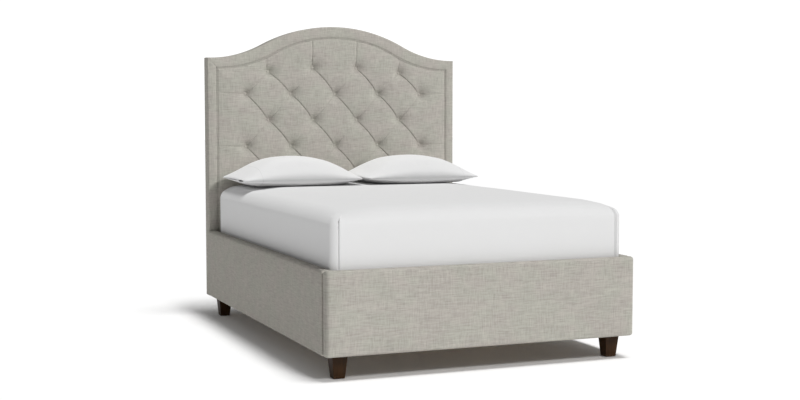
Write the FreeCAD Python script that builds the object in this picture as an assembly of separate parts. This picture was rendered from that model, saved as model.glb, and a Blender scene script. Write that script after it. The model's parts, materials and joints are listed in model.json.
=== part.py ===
import FreeCAD, Part
import math
import os

# Full-size upholstered panel bed: a camelback headboard with a button-tufted field, two padded
# side rails and a low padded footboard on four tapered wooden legs, with a slatted base, a centre
# beam on two levelling legs, a mattress under a sheet, and two pillows in their cases.
# Millimetres. +X is the right of someone who stands at the foot and looks at the headboard, +Y
# runs from foot to head, +Z is up. The origin is on the floor under the middle of the bed.

Vec = FreeCAD.Vector
X_AXIS, Y_AXIS, Z_AXIS = Vec(1, 0, 0), Vec(0, 1, 0), Vec(0, 0, 1)

# ---- driving dimensions ---------------------------------------------------------------------
BED_WIDTH = 1460.0
BED_LENGTH = 2044.0
LEG_HEIGHT = 102.0
RAIL_TOP = 460.0
HEADBOARD_DEPTH = 75.0
FOOTBOARD_DEPTH = 45.0
RAIL_THICKNESS = 42.0

# Top line of the headboard: flat shoulders, a hollow arc, then a crown arc over the middle.
SHOULDER_Z, PEAK_Z = 1400.0, 1580.0
CREST_RUN, HOLLOW_RADIUS = 720.0, 654.0
# The same line where the tufted field meets the padded border.
FIELD_HALF_WIDTH = 681.0
FIELD_SHOULDER_Z, FIELD_PEAK_Z = 1347.0, 1520.0
FIELD_RUN, FIELD_HOLLOW_RADIUS = 671.0, 636.0

# Button grid of the tufted field.
BUTTON_PITCH_X, BUTTON_PITCH_Z = 259.0, 145.0
BUTTON_TOP_Z, BUTTON_OUTER_DROP = 1349.6, 24.0
BUTTON_ROWS = 6
BUTTON_RADIUS = 11.0

SLAT_COUNT = 12
SLAT_WIDTH, SLAT_THICKNESS = 89.0, 19.0
SLAT_BOTTOM = 382.0

MATTRESS_WIDTH, MATTRESS_LENGTH, MATTRESS_HEIGHT = 1366.0, 1899.0, 314.0
SHEET_GAP, SHEET_THICKNESS = 0.3, 1.5
PILLOW_LENGTH, PILLOW_DEPTH, PILLOW_HEIGHT = 700.0, 480.0, 148.0

# ---- places worked out from them ------------------------------------------------------------
SIDE = BED_WIDTH / 2
FOOT = -BED_LENGTH / 2
HEAD = BED_LENGTH / 2
HEADBOARD_FRONT = HEAD - HEADBOARD_DEPTH
FOOTBOARD_BACK = FOOT + FOOTBOARD_DEPTH
RAIL_INNER = SIDE - RAIL_THICKNESS
RAIL_BOTTOM = LEG_HEIGHT
SIDES = {"left": -1, "right": 1}

# Upholstery build-up.
OUTER_FOAM, INNER_FABRIC, TOP_FOAM, BOTTOM_FABRIC = 15.0, 2.0, 10.0, 4.0
FOOTBOARD_BACK_FABRIC, FOOTBOARD_END_FOAM = 5.0, 12.0
EDGE_ROUND = 9.0
RAIL_BOARD = 25.0

# Headboard layers, from its back to its front.
BACK_COVER = 1.5
FRAME_LUMBER, PANEL_PLY = 30.0, 12.0
BORDER_WRAP = 12.0
LUMBER_BACK = HEAD - BACK_COVER
LUMBER_FRONT = LUMBER_BACK - FRAME_LUMBER
PANEL_FRONT = LUMBER_FRONT - PANEL_PLY
PAD_FRONT = HEADBOARD_FRONT
WELT_RADIUS, WELT_GAP, WELT_DEPTH = 4.5, 10.0, 5.0
BACK_COVER_INSET = 4.0
POST_INNER, POST_OUTER, POST_TOP = 640.0, 710.0, 1380.0
CROSSRAIL_LOW, CROSSRAIL_HIGH = (290.0, 390.0), (1235.0, 1295.0)

# Legs.
LEG_TOP, LEG_FOOT, LEG_EDGE_ROUND = 70.0, 50.0, 2.0
GLIDE_RADIUS, GLIDE_THICKNESS = 18.0, 2.0
FRONT_LEG_X, FRONT_LEG_Y = 653.0, FOOT + 88.0
REAR_LEG_X, REAR_LEG_Y = 668.0, FOOT + 1897.0
BLOCK_SIZE, BLOCK_HEIGHT = 90.0, 60.0
M8_RADIUS, M8_HOLE_RADIUS = 4.0, 4.5
HANGER_IN_LEG, HANGER_IN_BLOCK = 50.0, 45.0

# Steel brackets between the rails and the boards.
BRACKET_LEG, BRACKET_STEEL = 50.0, 4.0
BRACKET_LOW, BRACKET_HIGH = 195.0, 315.0
BRACKET_BOLT_Z = (225.0, 285.0)
BRACKET_SCREW_Z = (215.0, 255.0, 295.0)
BOLT_X, BOLT_END_GAP = 660.0, 2.0
BOLT_HEAD_AF, BOLT_HEAD_HEIGHT = 13.0, 5.5
TEE_FLANGE_RADIUS, TEE_FLANGE = 11.0, 1.5
TEE_BARREL_RADIUS, TEE_BARREL = 5.4, 11.0
THREAD_CLEARANCE = 0.1

# Slatted base.
LEDGER_WIDTH, LEDGER_HEIGHT, LEDGER_END_GAP = 25.0, 40.0, 12.0
BEAM_WIDTH, BEAM_HEIGHT = 35.0, 70.0
HANGER_STEEL, HANGER_REACH, HANGER_HALF_WIDTH = 2.5, 50.0, 40.0
HEAD_HANGER_SCREW = 64.0
SLAT_END_GAP = 4.0
LEDGER_SCREWS = 7

# Levelling centre legs.
CENTRE_LEG, CENTRE_LEG_ROUND = 45.0, 3.0
CENTRE_LEG_BOTTOM = 34.0
CENTRE_LEG_Y = {"foot": -340.0, "head": 300.0}
LEVELLER_PAD_RADIUS, LEVELLER_PAD_HEIGHT, LEVELLER_PAD_ROUND = 20.0, 10.0, 2.0
SOCKET_RADIUS, SOCKET_FLOOR = 5.6, 4.0
STUD_TOP = 78.0
STUD_ROOM_RADIUS, STUD_ROOM_LENGTH = 5.0, 70.0
STUD_HEX_BOTTOM, STUD_HEX_TOP = 11.0, 18.0
MOVING_GAP = 0.3

# Wood screws.
SCREW_RADIUS, SCREW_HEAD_RADIUS = 2.2, 4.6
PAN_HEAD_HEIGHT, COUNTERSINK = 2.6, 2.8
SCREW_CLEARANCE = 0.3


# ---- small tools ----------------------------------------------------------------------------
def box(x0, x1, y0, y1, z0, z1):
    """A box between two corners given as pairs of limits."""
    return Part.makeBox(x1 - x0, y1 - y0, z1 - z0, Vec(x0, y0, z0))


def mirrored_box(side, x0, x1, y0, y1, z0, z1):
    """A box given for the right side, or its mirror image on the left."""
    if side < 0:
        x0, x1 = -x1, -x0
    return box(x0, x1, y0, y1, z0, z1)


def cylinder(radius, start, axis, length):
    """A round bar from a start point along an axis."""
    return Part.makeCylinder(radius, length, start, axis)


def edges_where(shape, test):
    """The straight edges whose middle point and direction pass a test."""
    found = []
    for edge in shape.Edges:
        ends = [v.Point for v in edge.Vertexes]
        if len(ends) == 2:
            run = ends[1] - ends[0]
            if test((ends[0] + ends[1]) * 0.5, run.normalize()):
                found.append(edge)
    return found


def round_along(shape, axis, radius):
    """Rounds every straight edge that runs along an axis."""
    return shape.makeFillet(radius, edges_where(shape, lambda mid, run: abs(run.dot(axis)) > 0.999))


def cut_all(shape, tools):
    """Takes each tool out of a shape."""
    return shape.cut(Part.makeCompound(tools)) if tools else shape


def hexagon_prism(start, axis, across_flats, height):
    """A six-sided bar, for bolt heads and the levelling studs' spanner flats."""
    radius = across_flats / math.sqrt(3)
    side = X_AXIS if abs(axis.z) > 0.5 else Z_AXIS
    other = axis.cross(side)
    points = []
    for i in range(7):
        turn = math.radians(60 * i)
        points.append(start + side * (radius * math.cos(turn)) + other * (radius * math.sin(turn)))
    return Part.Face(Part.makePolygon(points)).extrude(axis * height)


def save(name, *solids):
    """Writes one named sub-part; several solids make a group of identical pieces."""
    shape = solids[0] if len(solids) == 1 else Part.makeCompound(list(solids))
    if not shape.isValid() or not shape.Solids:
        raise ValueError(f"{name} isn't a valid solid")
    shape.exportStep(f"parts/{name}.step")


# ---- fasteners ------------------------------------------------------------------------------
def pan_screw(seat, axis, length):
    """A pan-head wood screw whose head stands on its seat and whose shank runs along the axis."""
    head = cylinder(SCREW_HEAD_RADIUS, seat - axis * PAN_HEAD_HEIGHT, axis, PAN_HEAD_HEIGHT)
    return head.fuse(cylinder(SCREW_RADIUS, seat, axis, length)).removeSplitter()


def countersunk_screw(seat, axis, length):
    """A countersunk wood screw, flush with its seat."""
    head = Part.makeCone(SCREW_HEAD_RADIUS, SCREW_RADIUS, COUNTERSINK, seat, axis)
    return head.fuse(cylinder(SCREW_RADIUS, seat, axis, length)).removeSplitter()


def pilot_hole(seat, axis, length):
    """The hole that a pan-head screw's shank fills."""
    return cylinder(SCREW_RADIUS, seat - axis, axis, length + 1)


def clearance_hole(seat, axis, length):
    """A wider hole for a screw's shank to pass through."""
    return cylinder(SCREW_RADIUS + SCREW_CLEARANCE, seat - axis, axis, length + 2)


def countersunk_hole(seat, axis, length):
    """The hole that a countersunk screw fills."""
    head = Part.makeCone(SCREW_HEAD_RADIUS, SCREW_RADIUS, COUNTERSINK, seat, axis)
    return head.fuse(cylinder(SCREW_RADIUS, seat, axis, length))


def tee_nut(face, axis):
    """A tee nut: its flange starts at the face and its threaded barrel runs along the axis."""
    flange = cylinder(TEE_FLANGE_RADIUS, face, axis, TEE_FLANGE)
    barrel = cylinder(TEE_BARREL_RADIUS, face, axis, TEE_BARREL)
    bore = cylinder(M8_RADIUS + THREAD_CLEARANCE, face - axis, axis, TEE_BARREL + 2)
    return flange.fuse(barrel).removeSplitter().cut(bore)


def tee_nut_seat(face, axis):
    """The counterbore and hole that a tee nut fills."""
    flange = cylinder(TEE_FLANGE_RADIUS, face, axis, TEE_FLANGE)
    return flange.fuse(cylinder(TEE_BARREL_RADIUS, face, axis, TEE_BARREL))


def hex_bolt(seat, axis, length):
    """An M8 hexagon bolt with its head on the seat."""
    head = hexagon_prism(seat, axis * -1, BOLT_HEAD_AF, BOLT_HEAD_HEIGHT)
    return head.fuse(cylinder(M8_RADIUS, seat, axis, length)).removeSplitter()


# ---- headboard outline ----------------------------------------------------------------------
def camelback(half_width, bottom, shoulder, peak, run, hollow_radius, inset=0.0):
    """The camelback outline as a wire at Y = 0, inset by a padding thickness.

    Each side of the top line is a hollow arc from the shoulder that meets the crown arc, both
    tangent to each other and level at their far ends.
    """
    bend = 2 * math.atan((peak - shoulder) / run)
    crown_radius = run / math.sin(bend) - hollow_radius
    crown_centre_z, hollow_centre_z = peak - crown_radius, shoulder + hollow_radius
    crown, hollow = crown_radius - inset, hollow_radius + inset
    edge_x = half_width - inset
    end_x = min(edge_x, run)
    end_angle = math.asin((run - end_x) / hollow)

    def on_hollow(angle):
        return Vec(run - hollow * math.sin(angle), 0, hollow_centre_z - hollow * math.cos(angle))

    def mirror(point):
        return Vec(-point.x, 0, point.z)

    join, middle, end = on_hollow(bend), on_hollow((bend + end_angle) / 2), on_hollow(end_angle)
    top = Vec(0, 0, crown_centre_z + crown)
    low, high = Vec(edge_x, 0, bottom + inset), Vec(edge_x, 0, end.z)
    edges = [Part.LineSegment(mirror(low), low).toShape(), Part.LineSegment(low, high).toShape()]
    if edge_x - end_x > 0.01:
        edges.append(Part.LineSegment(high, end).toShape())
    edges.append(Part.Arc(end, middle, join).toShape())
    edges.append(Part.Arc(join, top, mirror(join)).toShape())
    edges.append(Part.Arc(mirror(join), mirror(middle), mirror(end)).toShape())
    if edge_x - end_x > 0.01:
        edges.append(Part.LineSegment(mirror(end), mirror(high)).toShape())
    edges.append(Part.LineSegment(mirror(high), mirror(low)).toShape())
    return Part.Wire(edges)


def plate(wire, y0, y1):
    """A flat plate of an outline, from y0 to y1."""
    face = Part.Face(wire)
    face.translate(Vec(0, y0, 0))
    return face.extrude(Vec(0, y1 - y0, 0))


def outer_outline(inset=0.0):
    """The headboard's outer edge, drawn in by inset."""
    return camelback(SIDE, RAIL_BOTTOM, SHOULDER_Z, PEAK_Z, CREST_RUN, HOLLOW_RADIUS, inset)


def field_outline(inset=0.0):
    """The edge of the tufted field, drawn in by inset."""
    return camelback(
        FIELD_HALF_WIDTH, RAIL_BOTTOM, FIELD_SHOULDER_Z, FIELD_PEAK_Z, FIELD_RUN, FIELD_HOLLOW_RADIUS, inset
    )


def button_places():
    """The (x, z) of every button: rows of four and five by turns, each half a pitch across."""
    places = []
    for row in range(BUTTON_ROWS):
        z = BUTTON_TOP_Z - row * BUTTON_PITCH_Z
        columns = (-1.5, -0.5, 0.5, 1.5) if row % 2 == 0 else (-2, -1, 0, 1, 2)
        for column in columns:
            drop = BUTTON_OUTER_DROP if row == 0 and abs(column) > 1 else 0.0
            places.append((column * BUTTON_PITCH_X, z - drop))
    return places


# ---- headboard ------------------------------------------------------------------------------
TIE_RADIUS, TIE_HOLE_RADIUS = 1.25, 2.5
WASHER_RADIUS, WASHER_THICKNESS = 10.0, 2.0
POCKET_RADIUS, POCKET_DEPTH = 13.0, 22.0
BUTTON_THICKNESS, BUTTON_DOME, DOME_TOP_RADIUS = 4.0, 3.0, 6.05
HANGER_SCREW_X, HANGER_SCREW_Z = 31.0, (325.0, 365.0)


def headboard_bolts():
    """(x, z) of the four bolts that hold the rail brackets to the headboard."""
    return [(side * BOLT_X, z) for side in SIDES.values() for z in BRACKET_BOLT_Z]


def hanger_screw_places():
    """(x, z) of the four screws of a beam hanger."""
    return [(side * HANGER_SCREW_X, z) for side in SIDES.values() for z in HANGER_SCREW_Z]


def headboard_frame():
    """Plywood panel, two posts and two crossrails: the timber inside the headboard."""
    bolt_holes = []
    for x, z in headboard_bolts():
        bolt_holes.append(cylinder(M8_HOLE_RADIUS, Vec(x, PAD_FRONT, z), Y_AXIS, HEADBOARD_DEPTH))
    screw_holes = []
    for x, z in hanger_screw_places():
        seat = Vec(x, HEADBOARD_FRONT - HANGER_STEEL, z)
        screw_holes.append(pilot_hole(seat, Y_AXIS, HEAD_HANGER_SCREW))
    tie_holes = []
    for x, z in button_places():
        tie_holes.append(cylinder(TIE_HOLE_RADIUS, Vec(x, PANEL_FRONT - 1, z), Y_AXIS, PANEL_PLY + 2))
    panel = plate(outer_outline(BORDER_WRAP), PANEL_FRONT, LUMBER_FRONT)
    save("headboard_panel", cut_all(panel, bolt_holes + screw_holes + tie_holes))
    for name, side in SIDES.items():
        post = mirrored_box(
            side, POST_INNER, POST_OUTER, LUMBER_FRONT, LUMBER_BACK, RAIL_BOTTOM + BORDER_WRAP, POST_TOP
        )
        seats = [tee_nut_seat(Vec(side * BOLT_X, LUMBER_BACK, z), Y_AXIS * -1) for z in BRACKET_BOLT_Z]
        save(f"headboard_post_{name}", cut_all(post, bolt_holes + seats))
    for name, (low, high) in (("lower", CROSSRAIL_LOW), ("upper", CROSSRAIL_HIGH)):
        rail = box(-POST_INNER, POST_INNER, LUMBER_FRONT, LUMBER_BACK, low, high)
        save(f"headboard_crossrail_{name}", cut_all(rail, screw_holes if name == "lower" else []))


def headboard_upholstery():
    """Padded border, tufted field pad, welt between them and the cover over the back."""
    front = plate(outer_outline(), HEADBOARD_FRONT, PANEL_FRONT)
    front = front.cut(plate(field_outline(), HEADBOARD_FRONT - 1, PANEL_FRONT + 1))
    wrap = plate(outer_outline(), PANEL_FRONT, LUMBER_BACK)
    wrap = wrap.cut(plate(outer_outline(BORDER_WRAP), PANEL_FRONT - 1, LUMBER_BACK + 1))
    border = front.fuse(wrap).removeSplitter()
    save("headboard_border", border)

    pad = plate(field_outline(WELT_GAP), PAD_FRONT, PANEL_FRONT)
    pockets = []
    for x, z in button_places():
        pockets.append(cylinder(POCKET_RADIUS, Vec(x, PAD_FRONT - 1, z), Y_AXIS, POCKET_DEPTH + 1))
        pockets.append(cylinder(TIE_HOLE_RADIUS, Vec(x, PAD_FRONT, z), Y_AXIS, HEADBOARD_DEPTH))
    for x, z in headboard_bolts():
        pockets.append(cylinder(M8_HOLE_RADIUS, Vec(x, PAD_FRONT - 1, z), Y_AXIS, HEADBOARD_DEPTH))
    for x, z in hanger_screw_places():
        pockets.append(clearance_hole(Vec(x, PAD_FRONT, z), Y_AXIS, HEADBOARD_DEPTH))
    save("headboard_tufted_pad", cut_all(pad, pockets))

    cover = plate(outer_outline(BACK_COVER_INSET), LUMBER_BACK, HEAD)
    save("headboard_back_cover", cover)


def headboard_welt():
    """A fabric-covered cord along the seam between border and field, up one side and down the other."""
    line = field_outline(WELT_GAP / 2)
    edges = [e for e in line.Edges if e.CenterOfMass.z > RAIL_BOTTOM + WELT_GAP]
    edges = Part.__sortEdges__(edges)
    path = Part.Wire(edges)
    path.translate(Vec(0, HEADBOARD_FRONT + WELT_DEPTH, 0))
    start = path.Edges[0].valueAt(path.Edges[0].FirstParameter)
    end = path.Edges[-1].valueAt(path.Edges[-1].LastParameter)
    foot = min((start, end), key=lambda p: (round(p.z, 3), p.x))
    ring = Part.Wire(Part.makeCircle(WELT_RADIUS, foot, Z_AXIS))
    welt = path.makePipeShell([ring], True, False, 2)
    save("headboard_welt", welt)


def tuft_buttons():
    """Covered buttons deep in the field, each on a twine tied to a washer behind the panel."""
    buttons, ties = [], []
    seat_y = PAD_FRONT + POCKET_DEPTH
    for x, z in button_places():
        disc = cylinder(BUTTON_RADIUS, Vec(x, seat_y, z), Y_AXIS * -1, BUTTON_THICKNESS)
        dome = Part.makeCone(
            BUTTON_RADIUS, DOME_TOP_RADIUS, BUTTON_DOME, Vec(x, seat_y - BUTTON_THICKNESS, z), Y_AXIS * -1
        )
        buttons.append(disc.fuse(dome).removeSplitter())
        twine = cylinder(TIE_RADIUS, Vec(x, seat_y, z), Y_AXIS, LUMBER_FRONT - seat_y)
        washer = cylinder(WASHER_RADIUS, Vec(x, LUMBER_FRONT, z), Y_AXIS, WASHER_THICKNESS)
        ties.append(twine.fuse(washer).removeSplitter())
    save("tuft_buttons", *buttons)
    save("tuft_ties", *ties)


# ---- side rails -----------------------------------------------------------------------------
BRACKET_SCREW_INSET = 34.0
BRACKET_SCREW_LENGTH = 24.0
LEDGER_TOP = SLAT_BOTTOM
LEDGER_BOTTOM = LEDGER_TOP - LEDGER_HEIGHT
LEDGER_INNER = RAIL_INNER - LEDGER_WIDTH
SLAT_TOP = SLAT_BOTTOM + SLAT_THICKNESS
SLAT_SCREW_X = (LEDGER_INNER + RAIL_INNER) / 2
SLAT_SCREW_LENGTH, LEDGER_SCREW_LENGTH = 38.0, 46.0
FIRST_SLAT, LAST_SLAT = FOOTBOARD_BACK + 6.0, HEADBOARD_FRONT - 24.0
SLAT_PITCH = (LAST_SLAT - FIRST_SLAT - SLAT_WIDTH) / (SLAT_COUNT - 1)


def bracket_screw_seats(side):
    """Seats of the screws that hold both brackets of one rail, on the brackets' inner faces."""
    seats = []
    for y in (FOOTBOARD_BACK + BRACKET_SCREW_INSET, HEADBOARD_FRONT - BRACKET_SCREW_INSET):
        for z in BRACKET_SCREW_Z:
            seats.append(Vec(side * (RAIL_INNER - BRACKET_STEEL), y, z))
    return seats


def ledger_screw_seats(side):
    """Seats of the ledger's screws, each in the middle of a gap between two slats."""
    seats = []
    for i in range(LEDGER_SCREWS):
        gap = round((SLAT_COUNT - 2) * i / (LEDGER_SCREWS - 1))
        y = FIRST_SLAT + gap * SLAT_PITCH + (SLAT_PITCH + SLAT_WIDTH) / 2
        seats.append(Vec(side * LEDGER_INNER, y, (LEDGER_BOTTOM + LEDGER_TOP) / 2))
    return seats


def slat_screw_seats(side):
    """Seats of the screws through one end of each slat."""
    seats = []
    for i in range(SLAT_COUNT):
        y = FIRST_SLAT + i * SLAT_PITCH + SLAT_WIDTH / 2
        seats.append(Vec(side * SLAT_SCREW_X, y, SLAT_TOP))
    return seats


def side_rails():
    """Rail boards, their padded covers and the ledgers that carry the slats."""
    for name, side in SIDES.items():
        out = X_AXIS * side
        y0, y1 = FOOTBOARD_BACK, HEADBOARD_FRONT
        board_in, board_out = RAIL_INNER + INNER_FABRIC, RAIL_INNER + INNER_FABRIC + RAIL_BOARD
        board_low, board_high = RAIL_BOTTOM + BOTTOM_FABRIC, RAIL_TOP - TOP_FOAM
        board = mirrored_box(side, board_in, board_out, y0, y1, board_low, board_high)
        holes = [pilot_hole(s, out, BRACKET_SCREW_LENGTH) for s in bracket_screw_seats(side)]
        holes += [countersunk_hole(s, out, LEDGER_SCREW_LENGTH) for s in ledger_screw_seats(side)]
        save(f"rail_board_{name}", cut_all(board, holes))

        cover = mirrored_box(side, RAIL_INNER, SIDE, y0, y1, RAIL_BOTTOM, RAIL_TOP)
        rounded = edges_where(
            cover, lambda mid, run: abs(run.y) > 0.999 and (mid.z > RAIL_TOP - 1 or abs(mid.x) > SIDE - 1)
        )
        cover = cover.makeFillet(EDGE_ROUND, rounded)
        cavity = mirrored_box(side, board_in, board_out, y0 - 1, y1 + 1, board_low, board_high)
        save(f"rail_cover_{name}", cut_all(cover, [cavity] + holes))

        ledger = mirrored_box(
            side, LEDGER_INNER, RAIL_INNER, y0 + LEDGER_END_GAP, y1 - LEDGER_END_GAP, LEDGER_BOTTOM, LEDGER_TOP
        )
        holes = [countersunk_hole(s, out, LEDGER_SCREW_LENGTH) for s in ledger_screw_seats(side)]
        holes += [countersunk_hole(s, Z_AXIS * -1, SLAT_SCREW_LENGTH) for s in slat_screw_seats(side)]
        save(f"slat_ledger_{name}", cut_all(ledger, holes))


# ---- footboard ------------------------------------------------------------------------------
def footboard_bolt_seats():
    """Seats of the four bolts that hold the rail brackets to the footboard."""
    y = FOOTBOARD_BACK + BRACKET_STEEL
    return [Vec(side * BOLT_X, y, z) for side in SIDES.values() for z in BRACKET_BOLT_Z]


def footboard():
    """Footboard board and its padded cover, which is open underneath where it is stapled."""
    front, back = FOOT + OUTER_FOAM, FOOTBOARD_BACK - FOOTBOARD_BACK_FABRIC
    half = SIDE - FOOTBOARD_END_FOAM
    toward_foot = Y_AXIS * -1
    seats = [tee_nut_seat(Vec(s.x, front, s.z), Y_AXIS) for s in footboard_bolt_seats()]
    depth = FOOTBOARD_DEPTH - OUTER_FOAM + BRACKET_STEEL
    holes = [cylinder(M8_HOLE_RADIUS, s, toward_foot, depth) for s in footboard_bolt_seats()]
    for x, z in hanger_screw_places():
        holes.append(pilot_hole(Vec(x, FOOTBOARD_BACK + HANGER_STEEL, z), toward_foot, BRACKET_SCREW_LENGTH))
    board = box(-half, half, front, back, RAIL_BOTTOM, RAIL_TOP - TOP_FOAM)
    save("footboard_board", cut_all(board, seats + holes))

    cover = box(-SIDE, SIDE, FOOT, FOOTBOARD_BACK, RAIL_BOTTOM, RAIL_TOP)
    rounded = edges_where(
        cover,
        lambda mid, run: mid.y < FOOT + 1 or (mid.z > RAIL_TOP - 1 and abs(run.x) > 0.999),
    )
    cover = cover.makeFillet(EDGE_ROUND, rounded)
    cavity = box(-half, half, front, back, RAIL_BOTTOM - 1, RAIL_TOP - TOP_FOAM)
    save("footboard_cover", cut_all(cover, [cavity] + holes))


# ---- legs -----------------------------------------------------------------------------------
def leg_places():
    """Name and centre of each corner leg."""
    places = {}
    for name, side in SIDES.items():
        places[f"front_{name}"] = (side * FRONT_LEG_X, FRONT_LEG_Y)
        places[f"rear_{name}"] = (side * REAR_LEG_X, REAR_LEG_Y)
    return places


def square_wire(x, y, size, z):
    """A level square about (x, y) at height z."""
    half = size / 2
    corners = [Vec(x + sx * half, y + sy * half, z) for sx, sy in ((-1, -1), (1, -1), (1, 1), (-1, 1))]
    return Part.makePolygon(corners + corners[:1])


def legs():
    """Four tapered legs with felt glides, held by hanger bolts in the corner blocks."""
    bolts, glides, blocks = [], [], []
    for name, (x, y) in leg_places().items():
        side = 1 if x > 0 else -1
        shank = cylinder(
            M8_RADIUS, Vec(x, y, LEG_HEIGHT - HANGER_IN_LEG), Z_AXIS, HANGER_IN_LEG + HANGER_IN_BLOCK
        )
        leg = Part.makeLoft(
            [square_wire(x, y, LEG_FOOT, GLIDE_THICKNESS), square_wire(x, y, LEG_TOP, LEG_HEIGHT)], True, True
        )
        leg = leg.makeFillet(LEG_EDGE_ROUND, edges_where(leg, lambda mid, run: abs(run.z) > 0.9))
        save(f"leg_{name}", leg.cut(shank))
        bolts.append(shank)
        glides.append(cylinder(GLIDE_RADIUS, Vec(x, y, 0), Z_AXIS, GLIDE_THICKNESS))
        y0 = FOOTBOARD_BACK if name.startswith("front") else REAR_LEG_Y - BLOCK_SIZE / 2
        block = mirrored_box(
            side, RAIL_INNER - BLOCK_SIZE, RAIL_INNER, y0, y0 + BLOCK_SIZE, RAIL_BOTTOM, RAIL_BOTTOM + BLOCK_HEIGHT
        )
        blocks.append(block.cut(shank))
    save("leg_hanger_bolts", *bolts)
    save("leg_glides", *glides)
    save("corner_blocks", *blocks)


# ---- rail brackets --------------------------------------------------------------------------
def rail_brackets():
    """Steel angles in the four inside corners, with their bolts, tee nuts and screws."""
    brackets, bolts, nuts, screws = [], [], [], []
    for side in SIDES.values():
        out = X_AXIS * side
        for wall, into in ((FOOTBOARD_BACK, -1), (HEADBOARD_FRONT, 1)):
            face = wall - into * BRACKET_STEEL
            far = wall - into * BRACKET_LEG
            inner = RAIL_INNER - BRACKET_LEG
            plate_on_board = mirrored_box(
                side, inner, RAIL_INNER, min(wall, face), max(wall, face), BRACKET_LOW, BRACKET_HIGH
            )
            plate_on_rail = mirrored_box(
                side, RAIL_INNER - BRACKET_STEEL, RAIL_INNER, min(wall, far), max(wall, far), BRACKET_LOW, BRACKET_HIGH
            )
            axis = Y_AXIS * into
            holes = []
            for z in BRACKET_BOLT_Z:
                seat = Vec(side * BOLT_X, face, z)
                holes.append(cylinder(M8_HOLE_RADIUS, seat - axis, axis, BRACKET_STEEL + 2))
                length = HEADBOARD_DEPTH if into > 0 else FOOTBOARD_DEPTH - OUTER_FOAM + BRACKET_STEEL
                bolts.append(hex_bolt(seat, axis, length - BOLT_END_GAP))
                nut_face = LUMBER_BACK if into > 0 else FOOT + OUTER_FOAM
                nuts.append(tee_nut(Vec(side * BOLT_X, nut_face, z), axis * -1))
            for seat in bracket_screw_seats(side):
                if (seat.y > 0) == (into > 0):
                    holes.append(clearance_hole(seat, out, BRACKET_STEEL))
                    screws.append(pan_screw(seat, out, BRACKET_SCREW_LENGTH))
            brackets.append(cut_all(plate_on_board.fuse(plate_on_rail).removeSplitter(), holes))
    save("corner_brackets", *brackets)
    save("bracket_bolts", *bolts)
    return nuts, screws


# ---- slatted base ---------------------------------------------------------------------------
BEAM_BOTTOM = SLAT_BOTTOM - BEAM_HEIGHT
DOWEL_LENGTH = 80.0


def beam_hangers():
    """Stirrups that hang the centre beam from the footboard and from the headboard."""
    screws = []
    for name, wall, into in (("foot", FOOTBOARD_BACK, -1), ("head", HEADBOARD_FRONT, 1)):
        face = wall - into * HANGER_STEEL
        far = face - into * HANGER_REACH
        half, low = BEAM_WIDTH / 2, BEAM_BOTTOM - HANGER_STEEL
        back = box(-HANGER_HALF_WIDTH, HANGER_HALF_WIDTH, min(wall, face), max(wall, face), low, SLAT_BOTTOM)
        reach = (min(face, far), max(face, far))
        cup = box(-half - HANGER_STEEL, half + HANGER_STEEL, *reach, low, SLAT_BOTTOM)
        cup = cup.cut(box(-half, half, reach[0] - 1, reach[1] + 1, BEAM_BOTTOM, SLAT_BOTTOM + 1))
        axis = Y_AXIS * into
        holes = []
        for x, z in hanger_screw_places():
            seat = Vec(x, face, z)
            holes.append(clearance_hole(seat, axis, HANGER_STEEL))
            screws.append(pan_screw(seat, axis, HEAD_HANGER_SCREW if into > 0 else BRACKET_SCREW_LENGTH))
        save(f"beam_hanger_{name}", cut_all(back.fuse(cup).removeSplitter(), holes))
    return screws


def slatted_base():
    """Twelve slats on the ledgers and the centre beam."""
    dowels = [
        cylinder(M8_RADIUS, Vec(0, y, BEAM_BOTTOM - DOWEL_LENGTH / 2), Z_AXIS, DOWEL_LENGTH)
        for y in CENTRE_LEG_Y.values()
    ]
    beam = box(
        -BEAM_WIDTH / 2,
        BEAM_WIDTH / 2,
        FOOTBOARD_BACK + HANGER_STEEL,
        HEADBOARD_FRONT - HANGER_STEEL,
        BEAM_BOTTOM,
        SLAT_BOTTOM,
    )
    save("centre_beam", cut_all(beam, dowels))
    save("centre_leg_dowels", *dowels)
    half = RAIL_INNER - SLAT_END_GAP
    screws = []
    for i in range(SLAT_COUNT):
        y = FIRST_SLAT + i * SLAT_PITCH
        slat = box(-half, half, y, y + SLAT_WIDTH, SLAT_BOTTOM, SLAT_TOP)
        holes = []
        for side in SIDES.values():
            seat = slat_screw_seats(side)[i]
            holes.append(countersunk_hole(seat, Z_AXIS * -1, SLAT_SCREW_LENGTH))
            screws.append(countersunk_screw(seat, Z_AXIS * -1, SLAT_SCREW_LENGTH))
        save(f"slat_{i + 1:02d}", cut_all(slat, holes))
    for side in SIDES.values():
        for seat in ledger_screw_seats(side):
            screws.append(countersunk_screw(seat, X_AXIS * side, LEDGER_SCREW_LENGTH))
    save("countersunk_screws", *screws)
    return dowels


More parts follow.
